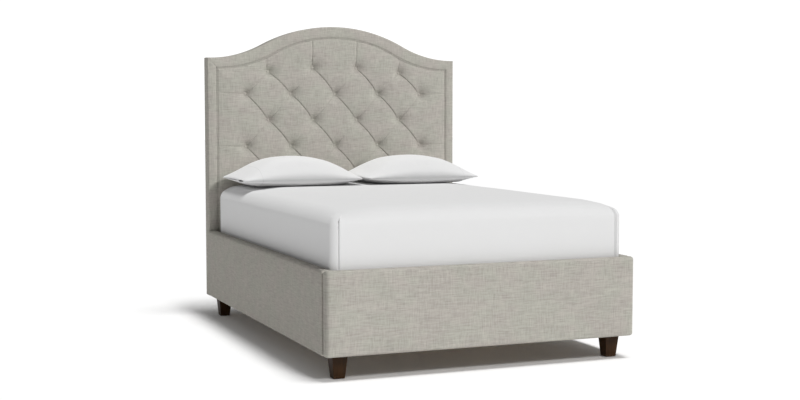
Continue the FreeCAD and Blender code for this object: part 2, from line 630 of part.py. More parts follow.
def centre_legs(dowels):
    """Two square legs under the beam, each on a foot that screws up and down."""
    nuts = []
    for (name, y), dowel in zip(CENTRE_LEG_Y.items(), dowels):
        half = CENTRE_LEG / 2
        leg = box(-half, half, y - half, y + half, CENTRE_LEG_BOTTOM, BEAM_BOTTOM)
        base = Vec(0, y, CENTRE_LEG_BOTTOM)
        stud_room = cylinder(STUD_ROOM_RADIUS, base, Z_AXIS, STUD_ROOM_LENGTH)
        leg = round_along(leg, Z_AXIS, CENTRE_LEG_ROUND)
        save(f"centre_leg_{name}", cut_all(leg, [dowel, stud_room, tee_nut_seat(base, Z_AXIS)]))
        nuts.append(tee_nut(base, Z_AXIS))

        pad = cylinder(LEVELLER_PAD_RADIUS, Vec(0, y, 0), Z_AXIS, LEVELLER_PAD_HEIGHT)
        pad = pad.makeFillet(LEVELLER_PAD_ROUND, [e for e in pad.Edges if e.CenterOfMass.z > LEVELLER_PAD_HEIGHT - 0.1])
        socket = cylinder(SOCKET_RADIUS, Vec(0, y, SOCKET_FLOOR), Z_AXIS, LEVELLER_PAD_HEIGHT)
        save(f"leveller_pad_{name}", pad.cut(socket))

        end = cylinder(
            SOCKET_RADIUS - MOVING_GAP, Vec(0, y, SOCKET_FLOOR + MOVING_GAP), Z_AXIS, STUD_HEX_BOTTOM - SOCKET_FLOOR
        )
        flats = hexagon_prism(Vec(0, y, STUD_HEX_BOTTOM), Z_AXIS, BOLT_HEAD_AF, STUD_HEX_TOP - STUD_HEX_BOTTOM)
        thread = cylinder(M8_RADIUS, Vec(0, y, STUD_HEX_TOP), Z_AXIS, STUD_TOP - STUD_HEX_TOP)
        save(f"leveller_stud_{name}", end.fuse(flats).fuse(thread).removeSplitter())
    return nuts


# ---- mattress, sheet and pillows ------------------------------------------------------------
MATTRESS_CORNER, MATTRESS_EDGE, MATTRESS_FOOT_GAP = 60.0, 55.0, 3.0
SHEET_TURN_UNDER = 110.0
PILLOW_CENTRES = {"left": -347.0, "right": 365.0}
PILLOW_Y = FOOT + 1700.0
PILLOW_ROUND = 60.0
CASE_GAP, CASE_THICKNESS, CASE_MOUTH = 0.5, 1.5, 4.0
PAST_CASE = 20.0
REST_GAP = 0.5


def rounded_block(width, length, height, centre_y, bottom, corner, edge):
    """A box with rounded upright corners, then rounded top and bottom rims."""
    block = box(-width / 2, width / 2, centre_y - length / 2, centre_y + length / 2, bottom, bottom + height)
    block = round_along(block, Z_AXIS, corner)
    rims = [e for e in block.Edges if e.BoundBox.ZLength < 0.01]
    return block.makeFillet(edge, rims)


def mattress_and_sheet():
    """The mattress, and the sheet drawn over it and turned under its edges."""
    skin = SHEET_GAP + SHEET_THICKNESS
    bottom = SLAT_TOP + skin
    centre_y = FOOTBOARD_BACK + MATTRESS_FOOT_GAP + MATTRESS_LENGTH / 2 + skin
    mattress = rounded_block(
        MATTRESS_WIDTH, MATTRESS_LENGTH, MATTRESS_HEIGHT, centre_y, bottom, MATTRESS_CORNER, MATTRESS_EDGE
    )
    save("mattress", mattress)

    def grown(extra):
        return rounded_block(
            MATTRESS_WIDTH + 2 * extra,
            MATTRESS_LENGTH + 2 * extra,
            MATTRESS_HEIGHT + 2 * extra,
            centre_y,
            bottom - extra,
            MATTRESS_CORNER + extra,
            MATTRESS_EDGE + extra,
        )

    half_x, half_y = MATTRESS_WIDTH / 2 - SHEET_TURN_UNDER, MATTRESS_LENGTH / 2 - SHEET_TURN_UNDER
    opening = box(-half_x, half_x, centre_y - half_y, centre_y + half_y, SLAT_TOP - 5, bottom + 10)
    save("bed_sheet", grown(skin).cut(grown(SHEET_GAP)).cut(opening))
    return bottom + MATTRESS_HEIGHT + skin


def pillows(rest_z):
    """Two pillows, each in a pillowcase that is open at its outer end."""
    for name, side in SIDES.items():
        centre = PILLOW_CENTRES[name]
        skin = CASE_GAP + CASE_THICKNESS
        low = rest_z + REST_GAP + skin

        def cushion(extra):
            x0, x1 = centre - PILLOW_LENGTH / 2 - extra, centre + PILLOW_LENGTH / 2 + extra
            y0, y1 = PILLOW_Y - PILLOW_DEPTH / 2 - extra, PILLOW_Y + PILLOW_DEPTH / 2 + extra
            block = box(x0, x1, y0, y1, low - extra, low + PILLOW_HEIGHT + extra)
            return block.makeFillet(PILLOW_ROUND + extra, block.Edges)

        save(f"pillow_{name}", cushion(0.0))
        outer_end = centre + side * (PILLOW_LENGTH / 2)
        mouth = box(
            min(outer_end - side * CASE_MOUTH, outer_end + side * PAST_CASE),
            max(outer_end - side * CASE_MOUTH, outer_end + side * PAST_CASE),
            PILLOW_Y - PILLOW_DEPTH,
            PILLOW_Y + PILLOW_DEPTH,
            low - PAST_CASE,
            low + PILLOW_HEIGHT + PAST_CASE,
        )
        save(f"pillowcase_{name}", cushion(skin).cut(cushion(CASE_GAP)).cut(mouth))


def main():
    """Builds every sub-part in order."""
    os.makedirs("parts", exist_ok=True)
    headboard_frame()
    headboard_upholstery()
    headboard_welt()
    tuft_buttons()
    side_rails()
    footboard()
    legs()
    nuts, screws = rail_brackets()
    screws += beam_hangers()
    nuts += centre_legs(slatted_base())
    save("tee_nuts", *nuts)
    save("pan_head_screws", *screws)
    pillows(mattress_and_sheet())


main()
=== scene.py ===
"""A full-size upholstered bed: camelback button-tufted headboard, padded rails and footboard, bedding.

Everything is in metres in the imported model's own frame: +Y from the foot to the headboard, +Z up.
"""
import json
import logging
import math
from collections.abc import Callable
from dataclasses import dataclass, field
from enum import Enum
from typing import Any, ClassVar

import bmesh
import bpy
import numpy as np
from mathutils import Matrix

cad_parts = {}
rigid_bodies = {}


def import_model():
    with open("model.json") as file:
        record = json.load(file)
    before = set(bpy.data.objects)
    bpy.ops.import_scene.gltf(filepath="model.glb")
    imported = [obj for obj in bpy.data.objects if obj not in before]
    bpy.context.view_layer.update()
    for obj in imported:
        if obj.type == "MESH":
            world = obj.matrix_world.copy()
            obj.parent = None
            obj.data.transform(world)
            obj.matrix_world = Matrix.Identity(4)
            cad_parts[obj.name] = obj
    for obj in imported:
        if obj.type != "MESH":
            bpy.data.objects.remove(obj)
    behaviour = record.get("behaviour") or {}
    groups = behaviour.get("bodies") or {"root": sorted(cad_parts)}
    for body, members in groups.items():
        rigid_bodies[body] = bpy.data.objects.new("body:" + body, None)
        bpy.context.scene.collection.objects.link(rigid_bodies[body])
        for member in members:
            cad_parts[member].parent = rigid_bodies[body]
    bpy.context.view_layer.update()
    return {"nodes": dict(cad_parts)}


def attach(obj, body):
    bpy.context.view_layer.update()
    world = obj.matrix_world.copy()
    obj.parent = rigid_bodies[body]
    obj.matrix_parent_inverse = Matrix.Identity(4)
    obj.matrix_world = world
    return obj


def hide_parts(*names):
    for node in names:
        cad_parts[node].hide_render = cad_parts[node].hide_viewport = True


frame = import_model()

log = logging.getLogger("bed")

Colour = tuple[float, float, float]
Point = tuple[float, float, float]
MM = 0.001
FULL_TURN = 2 * math.pi
TINY = 1e-7
WHITE = (1.0, 1.0, 1.0)


# ---------------------------------------------------------------- shader building


class Link:
    """A shader output socket that carries a colour, a vector or a whole shader."""

    def __init__(self, board: "Tree", socket: bpy.types.NodeSocket) -> None:
        """Keeps the socket and the tree that it is in."""
        self.board = board
        self.socket = socket


class Signal(Link):
    """A shader output that carries one number, with the operators that add Math nodes."""

    def maths(self, operation: str, *values: "float | Signal", clamp: bool = False) -> "Signal":
        """Adds one Math node.

        Args:
            operation: the node's operation.
            values: its inputs in order.
            clamp: whether the result is held between 0 and 1.

        Returns:
            The node's result.
        """
        settings = {"operation": operation, "use_clamp": clamp}
        return self.board.number("ShaderNodeMath", settings, dict(enumerate(values)))

    def __add__(self, other: "float | Signal") -> "Signal":
        """self + other."""
        return self.maths("ADD", self, other)

    __radd__ = __add__

    def __sub__(self, other: "float | Signal") -> "Signal":
        """self - other."""
        return self.maths("SUBTRACT", self, other)

    def __rsub__(self, other: "float | Signal") -> "Signal":
        """other - self."""
        return self.maths("SUBTRACT", other, self)

    def __mul__(self, other: "float | Signal") -> "Signal":
        """self * other."""
        return self.maths("MULTIPLY", self, other)

    __rmul__ = __mul__

    def __truediv__(self, other: "float | Signal") -> "Signal":
        """self / other."""
        return self.maths("DIVIDE", self, other)

    def __rtruediv__(self, other: "float | Signal") -> "Signal":
        """other / self."""
        return self.maths("DIVIDE", other, self)

    def __gt__(self, other: "float | Signal") -> "Signal":
        """1 where self > other, else 0."""
        return self.maths("GREATER_THAN", self, other)

    def __abs__(self) -> "Signal":
        """The absolute value."""
        return self.maths("ABSOLUTE", self)

    def sine(self) -> "Signal":
        """The sine, in radians."""
        return self.maths("SINE", self)

    def fraction(self) -> "Signal":
        """The part after the decimal point."""
        return self.maths("FRACT", self)

    def least(self, other: "float | Signal") -> "Signal":
        """The smaller of the two."""
        return self.maths("MINIMUM", self, other)

    def most(self, other: "float | Signal") -> "Signal":
        """The larger of the two."""
        return self.maths("MAXIMUM", self, other)

    def ramp(self, low: float, high: float) -> "Signal":
        """0 below low, 1 above high and smooth between; low may be the larger."""
        settings = {"interpolation_type": "SMOOTHSTEP"}
        return self.board.number("ShaderNodeMapRange", settings, {0: self, 1: low, 2: high})


SHEEN_ROUGHNESS = 0.5
COAT_ROUGHNESS = 0.25


class Tree:
    """A node tree, with short ways to add nodes."""

    def __init__(self, tree: bpy.types.NodeTree) -> None:
        """Keeps the tree."""
        self.tree = tree

    def plug(self, socket: bpy.types.NodeSocket, value: Any) -> None:
        """Links a Link to the socket, or sets a plain value on it."""
        if isinstance(value, Link):
            self.tree.links.new(value.socket, socket)
        elif isinstance(value, tuple) and len(value) == 3 and socket.type == "RGBA":
            socket.default_value = (*value, 1.0)
        else:
            socket.default_value = value

    def add(self, kind: str, settings: dict[str, Any], inputs: dict[int | str, Any]) -> bpy.types.Node:
        """Adds a node of any kind.

        Args:
            kind: the node's type.
            settings: its properties, set first.
            inputs: values or links by socket number or name.

        Returns:
            The node.
        """
        node = self.tree.nodes.new(kind)
        for key, value in settings.items():
            setattr(node, key, value)
        for key, value in inputs.items():
            self.plug(node.inputs[key], value)
        return node

    def number(self, kind: str, settings: dict[str, Any], inputs: dict[int | str, Any],
               output: int | str = 0) -> Signal:
        """Adds a node and gives one output of it as a number."""
        return Signal(self, self.add(kind, settings, inputs).outputs[output])

    def colour(self, kind: str, settings: dict[str, Any], inputs: dict[int | str, Any],
               output: int | str = 0) -> Link:
        """Adds a node and gives one output of it as a colour or vector."""
        return Link(self, self.add(kind, settings, inputs).outputs[output])


class Board(Tree):
    """The node tree of one new material."""

    turned = 0.72

    def __init__(self, name: str, roughness: float = 0.8, specular: float = 0.5, sheen: float = 0.0,
                 coat: float = 0.0, metallic: float = 0.0) -> None:
        """Makes the material and sets what is the same all over its surface."""
        self.material = bpy.data.materials.new(name)
        self.material.use_nodes = True
        super().__init__(self.material.node_tree)
        self.shader = self.tree.nodes["Principled BSDF"]
        self.shader.inputs["Roughness"].default_value = roughness
        self.shader.inputs["Specular IOR Level"].default_value = specular
        self.shader.inputs["Sheen Weight"].default_value = sheen
        self.shader.inputs["Sheen Roughness"].default_value = SHEEN_ROUGHNESS
        self.shader.inputs["Coat Weight"].default_value = coat
        self.shader.inputs["Coat Roughness"].default_value = COAT_ROUGHNESS
        self.shader.inputs["Metallic"].default_value = metallic
        place = self.tree.nodes.new("ShaderNodeTexCoord")
        self.place = Link(self, place.outputs["Object"])
        self.facing = Link(self, place.outputs["Normal"])

    def blend(self, factor: float | Signal, first: Any, second: Any, how: str = "MIX") -> Link:
        """Mixes two colours."""
        settings = {"data_type": "RGBA", "blend_type": how, "clamp_result": how == "MIX"}
        return self.colour("ShaderNodeMix", settings, {0: factor, 6: first, 7: second}, 2)

    def axes(self, vector: Link | None = None) -> tuple[Signal, Signal, Signal]:
        """The three numbers of a vector, by default of the place in the row frame."""
        node = self.add("ShaderNodeSeparateXYZ", {}, {0: vector or self.place})
        x, y, z = (Signal(self, node.outputs[i]) for i in range(3))
        return x, y, z

    def stretched(self, scale: Point, shift: Point = (0, 0, 0)) -> Link:
        """The place in the row frame, times a scale along each axis, plus a shift."""
        scaled = self.colour("ShaderNodeVectorMath", {"operation": "MULTIPLY"}, {0: self.place, 1: scale})
        return self.colour("ShaderNodeVectorMath", {"operation": "ADD"}, {0: scaled, 1: shift})

    def noise(self, scale: Point, detail: float = 2.0, roughness: float = 0.5,
              shift: Point = (0, 0, 0)) -> Signal:
        """Smooth noise of about 0 to 1 with its own scale along each axis, in cycles a metre."""
        place = self.stretched(scale, shift)
        inputs = {"Vector": place, "Scale": 1.0, "Detail": detail, "Roughness": roughness}
        return self.number("ShaderNodeTexNoise", {}, inputs)

    def yarns(self) -> tuple[Signal, Signal]:
        """How far along the cloth's weft and its warp each place is, on whichever way its face looks."""
        x, y, z = self.axes()
        nx, ny, nz = self.axes(self.facing)
        return x + (abs(nx) > self.turned) * (y - x), z + (abs(nz) > self.turned) * (y - z)

    def tint(self, value: Any) -> None:
        """Sets or links the base colour."""
        self.plug(self.shader.inputs["Base Color"], value)

    def gloss(self, value: Signal) -> None:
        """Links the roughness."""
        self.plug(self.shader.inputs["Roughness"], value)

    def relief(self, height: Signal, depth: float, strength: float = 1.0) -> None:
        """Links a bump of that depth in metres."""
        inputs = {"Height": height, "Distance": depth, "Strength": strength}
        self.plug(self.shader.inputs["Normal"], self.colour("ShaderNodeBump", {}, inputs))


# ---------------------------------------------------------------- finishes


@dataclass(frozen=True)
class Finish:
    """How one material looks; each kind of finish makes its own nodes."""

    name: str
    base: Colour
    made: ClassVar[dict[str, bpy.types.Material]] = {}

    def build(self) -> bpy.types.Material:
        """The material, made once and used again under its name."""
        if self.name not in self.made:
            self.made[self.name] = self.make().material
        return self.made[self.name]

    def make(self) -> Board:
        """Builds the nodes."""
        raise NotImplementedError

    def dress(self, obj: bpy.types.Object) -> None:
        """Gives the piece this finish and no other."""
        obj.data.materials.clear()
        obj.data.materials.append(self.build())

    def shade(self, share: float) -> Colour:
        """The base colour times a share."""
        return tuple(min(1.0, c * share) for c in self.base)


@dataclass(frozen=True)
class Linen(Finish):
    """Cross-woven linen blend with slubs: thick places that run along the yarns both ways."""

    yarn: float = 2.1 * MM
    slub: float = 1.0
    mottling: float = 0.035
    bump: float = 0.5 * MM

    def make(self) -> Board:
        """Builds the nodes."""
        b = Board(self.name, roughness=0.95, specular=0.12, sheen=0.04)
        across, along = b.yarns()
        turn = FULL_TURN / self.yarn
        wobble = b.noise((60, 60, 60), 2.0) * 1.6
        warp = (across * turn + wobble).sine()
        weft = (along * turn + wobble).sine()
        over = (warp * weft) * 0.5 + 0.5
        weft_slub = b.noise((20, 20, 240), 3.0, 0.6)
        warp_slub = b.noise((230, 230, 20), 3.0, 0.6, (3.1, 1.7, 0.4))
        fine_weft = b.noise((30, 30, 420), 2.0, 0.6, (0.7, 2.3, 5.1))
        fine_warp = b.noise((400, 400, 28), 2.0, 0.6, (4.1, 0.3, 2.2))
        cloud = b.noise((5.5, 5.5, 5.5), 4.0, 0.6, (1.3, 7.7, 2.9))
        thick = (weft_slub - 0.5) * 0.80 + (warp_slub - 0.5) * 0.70 + (fine_weft + fine_warp - 1.0) * 0.35
        tone = (thick * self.slub + (cloud - 0.5) * self.mottling * 4 + 0.5).least(1.0).most(0.0)
        body = b.blend(tone, self.shade(0.62), self.shade(1.38))
        warmth = b.noise((7, 7, 11), 2.0, 0.5, (9.1, 3.3, 0.6)).ramp(0.36, 0.64)
        cast = b.blend(warmth, (0.98, 1.0, 0.97), (1.0, 0.98, 0.975))
        b.tint(b.blend(1.0, body, cast, "MULTIPLY"))
        height = over * 0.35 + thick * 0.8
        b.gloss(0.95 - over * 0.08)
        b.relief(height, self.bump, 0.8)
        return b


@dataclass(frozen=True)
class Cotton(Finish):
    """Plain-woven white cotton, smooth and soft, with a faint unevenness."""

    yarn: float = 0.9 * MM
    creasing: float = 0.6 * MM
    hem: float | None = None

    def make(self) -> Board:
        """Builds the nodes."""
        b = Board(self.name, roughness=0.9, specular=0.15, sheen=0.05)
        x, y, _ = b.axes()
        across, along = b.yarns()
        turn = FULL_TURN / self.yarn
        weave = (across * turn).sine() * (along * turn).sine() * 0.5 + 0.5
        soft = b.noise((14, 14, 14), 3.0, 0.55)
        thread = b.noise((400, 60, 400), 2.0, 0.5, (0.2, 5.0, 1.1))
        tone = (weave * 0.25 + (soft - 0.5) * 0.5 + (thread - 0.5) * 0.3 + 0.4).least(1.0).most(0.0)
        body = b.blend(tone, self.shade(0.975), self.shade(1.02))
        height = weave * 0.12 + soft * 1.0
        if self.hem is not None:
            off = abs(x - self.hem) / (1.6 * MM)
            stitches = (y * (FULL_TURN / (2.6 * MM))).sine() * 0.15 + 0.85
            line = (1.0 - off).most(0.0) * stitches
            body = b.blend(line, body, self.shade(0.80))
            height = height - line * 1.2
        b.tint(body)
        b.gloss(0.9 - weave * 0.05)
        b.relief(height, self.creasing, 0.5)
        return b


@dataclass(frozen=True)
class Ticking(Finish):
    """Woven ticking: white with fine grey stripes along the mattress."""

    pitch: float = 22 * MM

    def make(self) -> Board:
        """Builds the nodes."""
        b = Board(self.name, roughness=0.85, specular=0.3, sheen=0.15)
        x, y, z = b.axes()
        across, _ = b.yarns()
        phase = (across / self.pitch + 100.0).fraction()
        stripe = abs(phase - 0.5).ramp(0.10, 0.06)
        hair = abs(phase - 0.5) - 0.17
        fine = abs(hair).ramp(0.03, 0.012)
        twill = ((x + y + z) * (FULL_TURN / (1.6 * MM))).sine() * 0.5 + 0.5
        soft = b.noise((9, 9, 9), 3.0)
        mark = (stripe * 0.75 + fine * 0.5).least(1.0)
        cloth = b.blend(mark, self.base, (0.44, 0.47, 0.52))
        shaded = b.blend(twill * 0.10 + soft * 0.10, cloth, (0.35, 0.34, 0.32))
        b.tint(shaded)
        b.gloss(0.9 - mark * 0.12)
        b.relief(twill * 0.5 + soft, 0.5 * MM, 0.5)
        return b


@dataclass(frozen=True)
class Timber(Finish):
    """Planed or stained wood with growth rings along one axis."""

    run: int = 1
    contrast: float = 0.35
    ring: float = 11 * MM
    sheen_rough: float = 0.62
    coat: float = 0.0
    layers: bool = False

    def make(self) -> Board:
        """Builds the nodes."""
        b = Board(self.name, roughness=self.sheen_rough, specular=0.4, coat=self.coat)
        long = [60.0, 60.0, 60.0]
        long[self.run] = 2.6
        fibre = [900.0, 900.0, 900.0]
        fibre[self.run] = 14.0
        sway = [7.0, 7.0, 7.0]
        sway[self.run] = 1.1
        figure = b.noise(tuple(sway), 3.0, 0.5)
        streak = b.noise(tuple(long), 4.0, 0.62)
        pores = b.noise(tuple(fibre), 2.0, 0.7)
        axes = b.axes()
        across = axes[(self.run + 1) % 3] + axes[(self.run + 2) % 3] * 0.6
        rings = ((across / self.ring + figure * 5.0) * (2 * math.pi)).sine() * 0.5 + 0.5
        grain = (rings * 0.45 + streak * 0.55 + (pores - 0.5) * 0.35)
        b.tint(b.blend(grain.ramp(0.15, 0.95), self.shade(1 + self.contrast), self.shade(1 - self.contrast)))
        if self.layers:
            ply = ((axes[1] * (FULL_TURN / (2.4 * MM))).sine()).ramp(-0.3, 0.3)
            edge = abs(b.axes(b.facing)[1]).ramp(0.7, 0.5)
            b.tint(b.blend(edge * ply * 0.6, self.shade(1.0), self.shade(0.55)))
        b.gloss(self.sheen_rough + (pores - 0.5) * 0.25)
        b.relief(pores * 0.6 + rings * 0.4, 0.25 * MM, 0.7)
        return b


@dataclass(frozen=True)
class Espresso(Finish):
    """Dark stained leg with satin lacquer, grain upright, a little rubbed low down."""

    def make(self) -> Board:
        """Builds the nodes."""
        b = Board(self.name, roughness=0.45, specular=0.14)
        z = b.axes()[2]
        streak = b.noise((95, 95, 4.5), 4.0, 0.6)
        pores = b.noise((1100, 1100, 22), 2.0, 0.7)
        figure = b.noise((22, 22, 3), 2.0)
        tone = (streak * 0.6 + figure * 0.3 + pores * 0.2).ramp(0.25, 0.85)
        stain = b.blend(tone, self.shade(0.62), self.shade(1.45))
        scuff = z.ramp(0.016, 0.003) * b.noise((160, 160, 160), 3.0).ramp(0.45, 0.7)
        b.tint(b.blend(scuff * 0.5, stain, (0.16, 0.11, 0.075)))
        b.gloss(0.34 + pores * 0.2 + scuff * 0.2)
        b.relief(pores * 0.7 + streak * 0.3, 0.2 * MM, 0.6)
        return b


@dataclass(frozen=True)
class Metal(Finish):
    """Zinc plating or powder coat, by how metallic it is."""

    metallic: float = 1.0
    rough: float = 0.35
    grain: float = 700.0
    bump: float = 0.05 * MM

    def make(self) -> Board:
        """Builds the nodes."""
        b = Board(self.name, roughness=self.rough, metallic=self.metallic)
        cloudy = b.noise((55, 55, 55), 3.0, 0.6)
        fine = b.noise((self.grain, self.grain, self.grain), 2.0, 0.6)
        b.tint(b.blend(cloudy.ramp(0.3, 0.7), self.shade(0.82), self.shade(1.12)))
        b.gloss(self.rough - 0.08 + cloudy * 0.16 + (fine - 0.5) * 0.1)
        b.relief(fine, self.bump, 0.7)
        return b


@dataclass(frozen=True)
class Fibre(Finish):
    """Felt, twine or dust cloth: matted or twisted fibres with a matt look."""

    scale: Point = (500, 500, 500)
    bump: float = 0.4 * MM

    def make(self) -> Board:
        """Builds the nodes."""
        b = Board(self.name, roughness=0.95, specular=0.15, sheen=0.3)
        mat = b.noise(self.scale, 4.0, 0.7)
        blotch = b.noise((40, 40, 40), 2.0)
        b.tint(b.blend((mat * 0.7 + blotch * 0.3).ramp(0.3, 0.7), self.shade(0.7), self.shade(1.25)))
        b.gloss(0.97 - mat * 0.1)
        b.relief(mat, self.bump, 0.8)
        return b


# ---------------------------------------------------------------- mesh building

Array = np.ndarray


def smooth(values: Array, low: float, high: float) -> Array:
    """0 below low, 1 above high and smooth between, for arrays."""
    t = np.clip((values - low) / (high - low), 0.0, 1.0)
    return t * t * (3 - 2 * t)


def make_piece(name: str, points: Array, faces: list[tuple[int, ...]],
               sharp: float | None = None) -> bpy.types.Object:
    """Makes a smooth-shaded mesh object with outward faces.

    Args:
        name: the piece's name.
        points: an N x 3 array in the row frame.
        faces: tuples of point numbers.
        sharp: the angle in degrees above which an edge stays sharp, or None for all smooth.

    Returns:
        The object, linked to the scene.
    """
    mesh = bpy.data.meshes.new(name)
    mesh.from_pydata([tuple(map(float, p)) for p in points], [], faces)
    work = bmesh.new()
    work.from_mesh(mesh)
    bmesh.ops.recalc_face_normals(work, faces=work.faces)
    for face in work.faces:
        face.smooth = True
    if sharp is not None:
        for edge in work.edges:
            if len(edge.link_faces) == 2 and edge.calc_face_angle(0.0) > math.radians(sharp):
                edge.smooth = False
    work.to_mesh(mesh)
    work.free()
    piece = bpy.data.objects.new(name, mesh)
    bpy.context.scene.collection.objects.link(piece)
    return piece


def apply_modifiers(piece: bpy.types.Object) -> None:
    """Turns the piece's modifiers into its mesh."""
    graph = bpy.context.evaluated_depsgraph_get()
    graph.update()
    mesh = bpy.data.meshes.new_from_object(piece.evaluated_get(graph))
    piece.modifiers.clear()
    piece.data = mesh


def points_of(piece: bpy.types.Object) -> Array:
    """The piece's points as an N x 3 array."""
    flat = np.zeros(len(piece.data.vertices) * 3)
    piece.data.vertices.foreach_get("co", flat)
    return flat.reshape(-1, 3)


def thicken(piece: bpy.types.Object, thickness: float, offset: float = -1.0) -> None:
    """Gives a sheet its thickness and keeps the result."""
    modifier = piece.modifiers.new("cloth", "SOLIDIFY")
    modifier.thickness = thickness
    modifier.offset = offset
    apply_modifiers(piece)


def grid_faces(rows: int, columns: int) -> list[tuple[int, ...]]:
    """Quads over a grid of rows x columns points, numbered row by row."""
    faces = []
    for i in range(rows - 1):
        for j in range(columns - 1):
            a = i * columns + j
            faces.append((a, a + 1, a + columns + 1, a + columns))
    return faces


def swept(name: str, rings: Array, looped: bool = False, sharp: float | None = None) -> bpy.types.Object:
    """A skin through rings of points.

    Args:
        name: the piece's name.
        rings: stations x ring points x 3; each ring is closed.
        looped: whether the last ring joins the first; if not, each of the two gets a face.
        sharp: see make_piece.

    Returns:
        The object.
    """
    count, around, _ = rings.shape
    faces = []
    for i in range(count if looped else count - 1):
        k = (i + 1) % count
        for j in range(around):
            m = (j + 1) % around
            faces.append((i * around + j, i * around + m, k * around + m, k * around + j))
    if not looped:
        faces.append(tuple(range(around)))
        faces.append(tuple((count - 1) * around + j for j in range(around)))
    return make_piece(name, rings.reshape(-1, 3), faces, sharp)


def ripple(points: Array, wave: float, seed: int) -> Array:
    """Seeded smooth unevenness of about -1 to 1 over points, with features of about wave metres."""
    chance = np.random.default_rng(seed)
    total = np.zeros(len(points))
    for octave in range(3):
        for _ in range(5):
            way = chance.normal(size=3)
            way /= np.linalg.norm(way)
            reach = wave / (1.7 ** octave) * chance.uniform(0.7, 1.4)
            phase = chance.uniform(0, FULL_TURN)
            total += np.sin(points @ way * (FULL_TURN / reach) + phase) / (2 ** octave)
    return total / 5.0


def spaced(low: float, high: float, step: float, radius_low: float = 0.0, radius_high: float = 0.0,
           turns: int = 6) -> Array:
    """Positions from low to high, with extra ones over the rounded zone at each end."""
    middle_low, middle_high = low + radius_low, high - radius_high
    count = max(2, int(round((middle_high - middle_low) / step)) + 1)
    parts = [np.linspace(middle_low, middle_high, count)]
    if radius_low > 0:
        parts.insert(0, np.linspace(low, middle_low, turns + 1)[:-1])
    if radius_high > 0:
        parts.append(np.linspace(middle_high, high, turns + 1)[1:])
    return np.concatenate(parts)


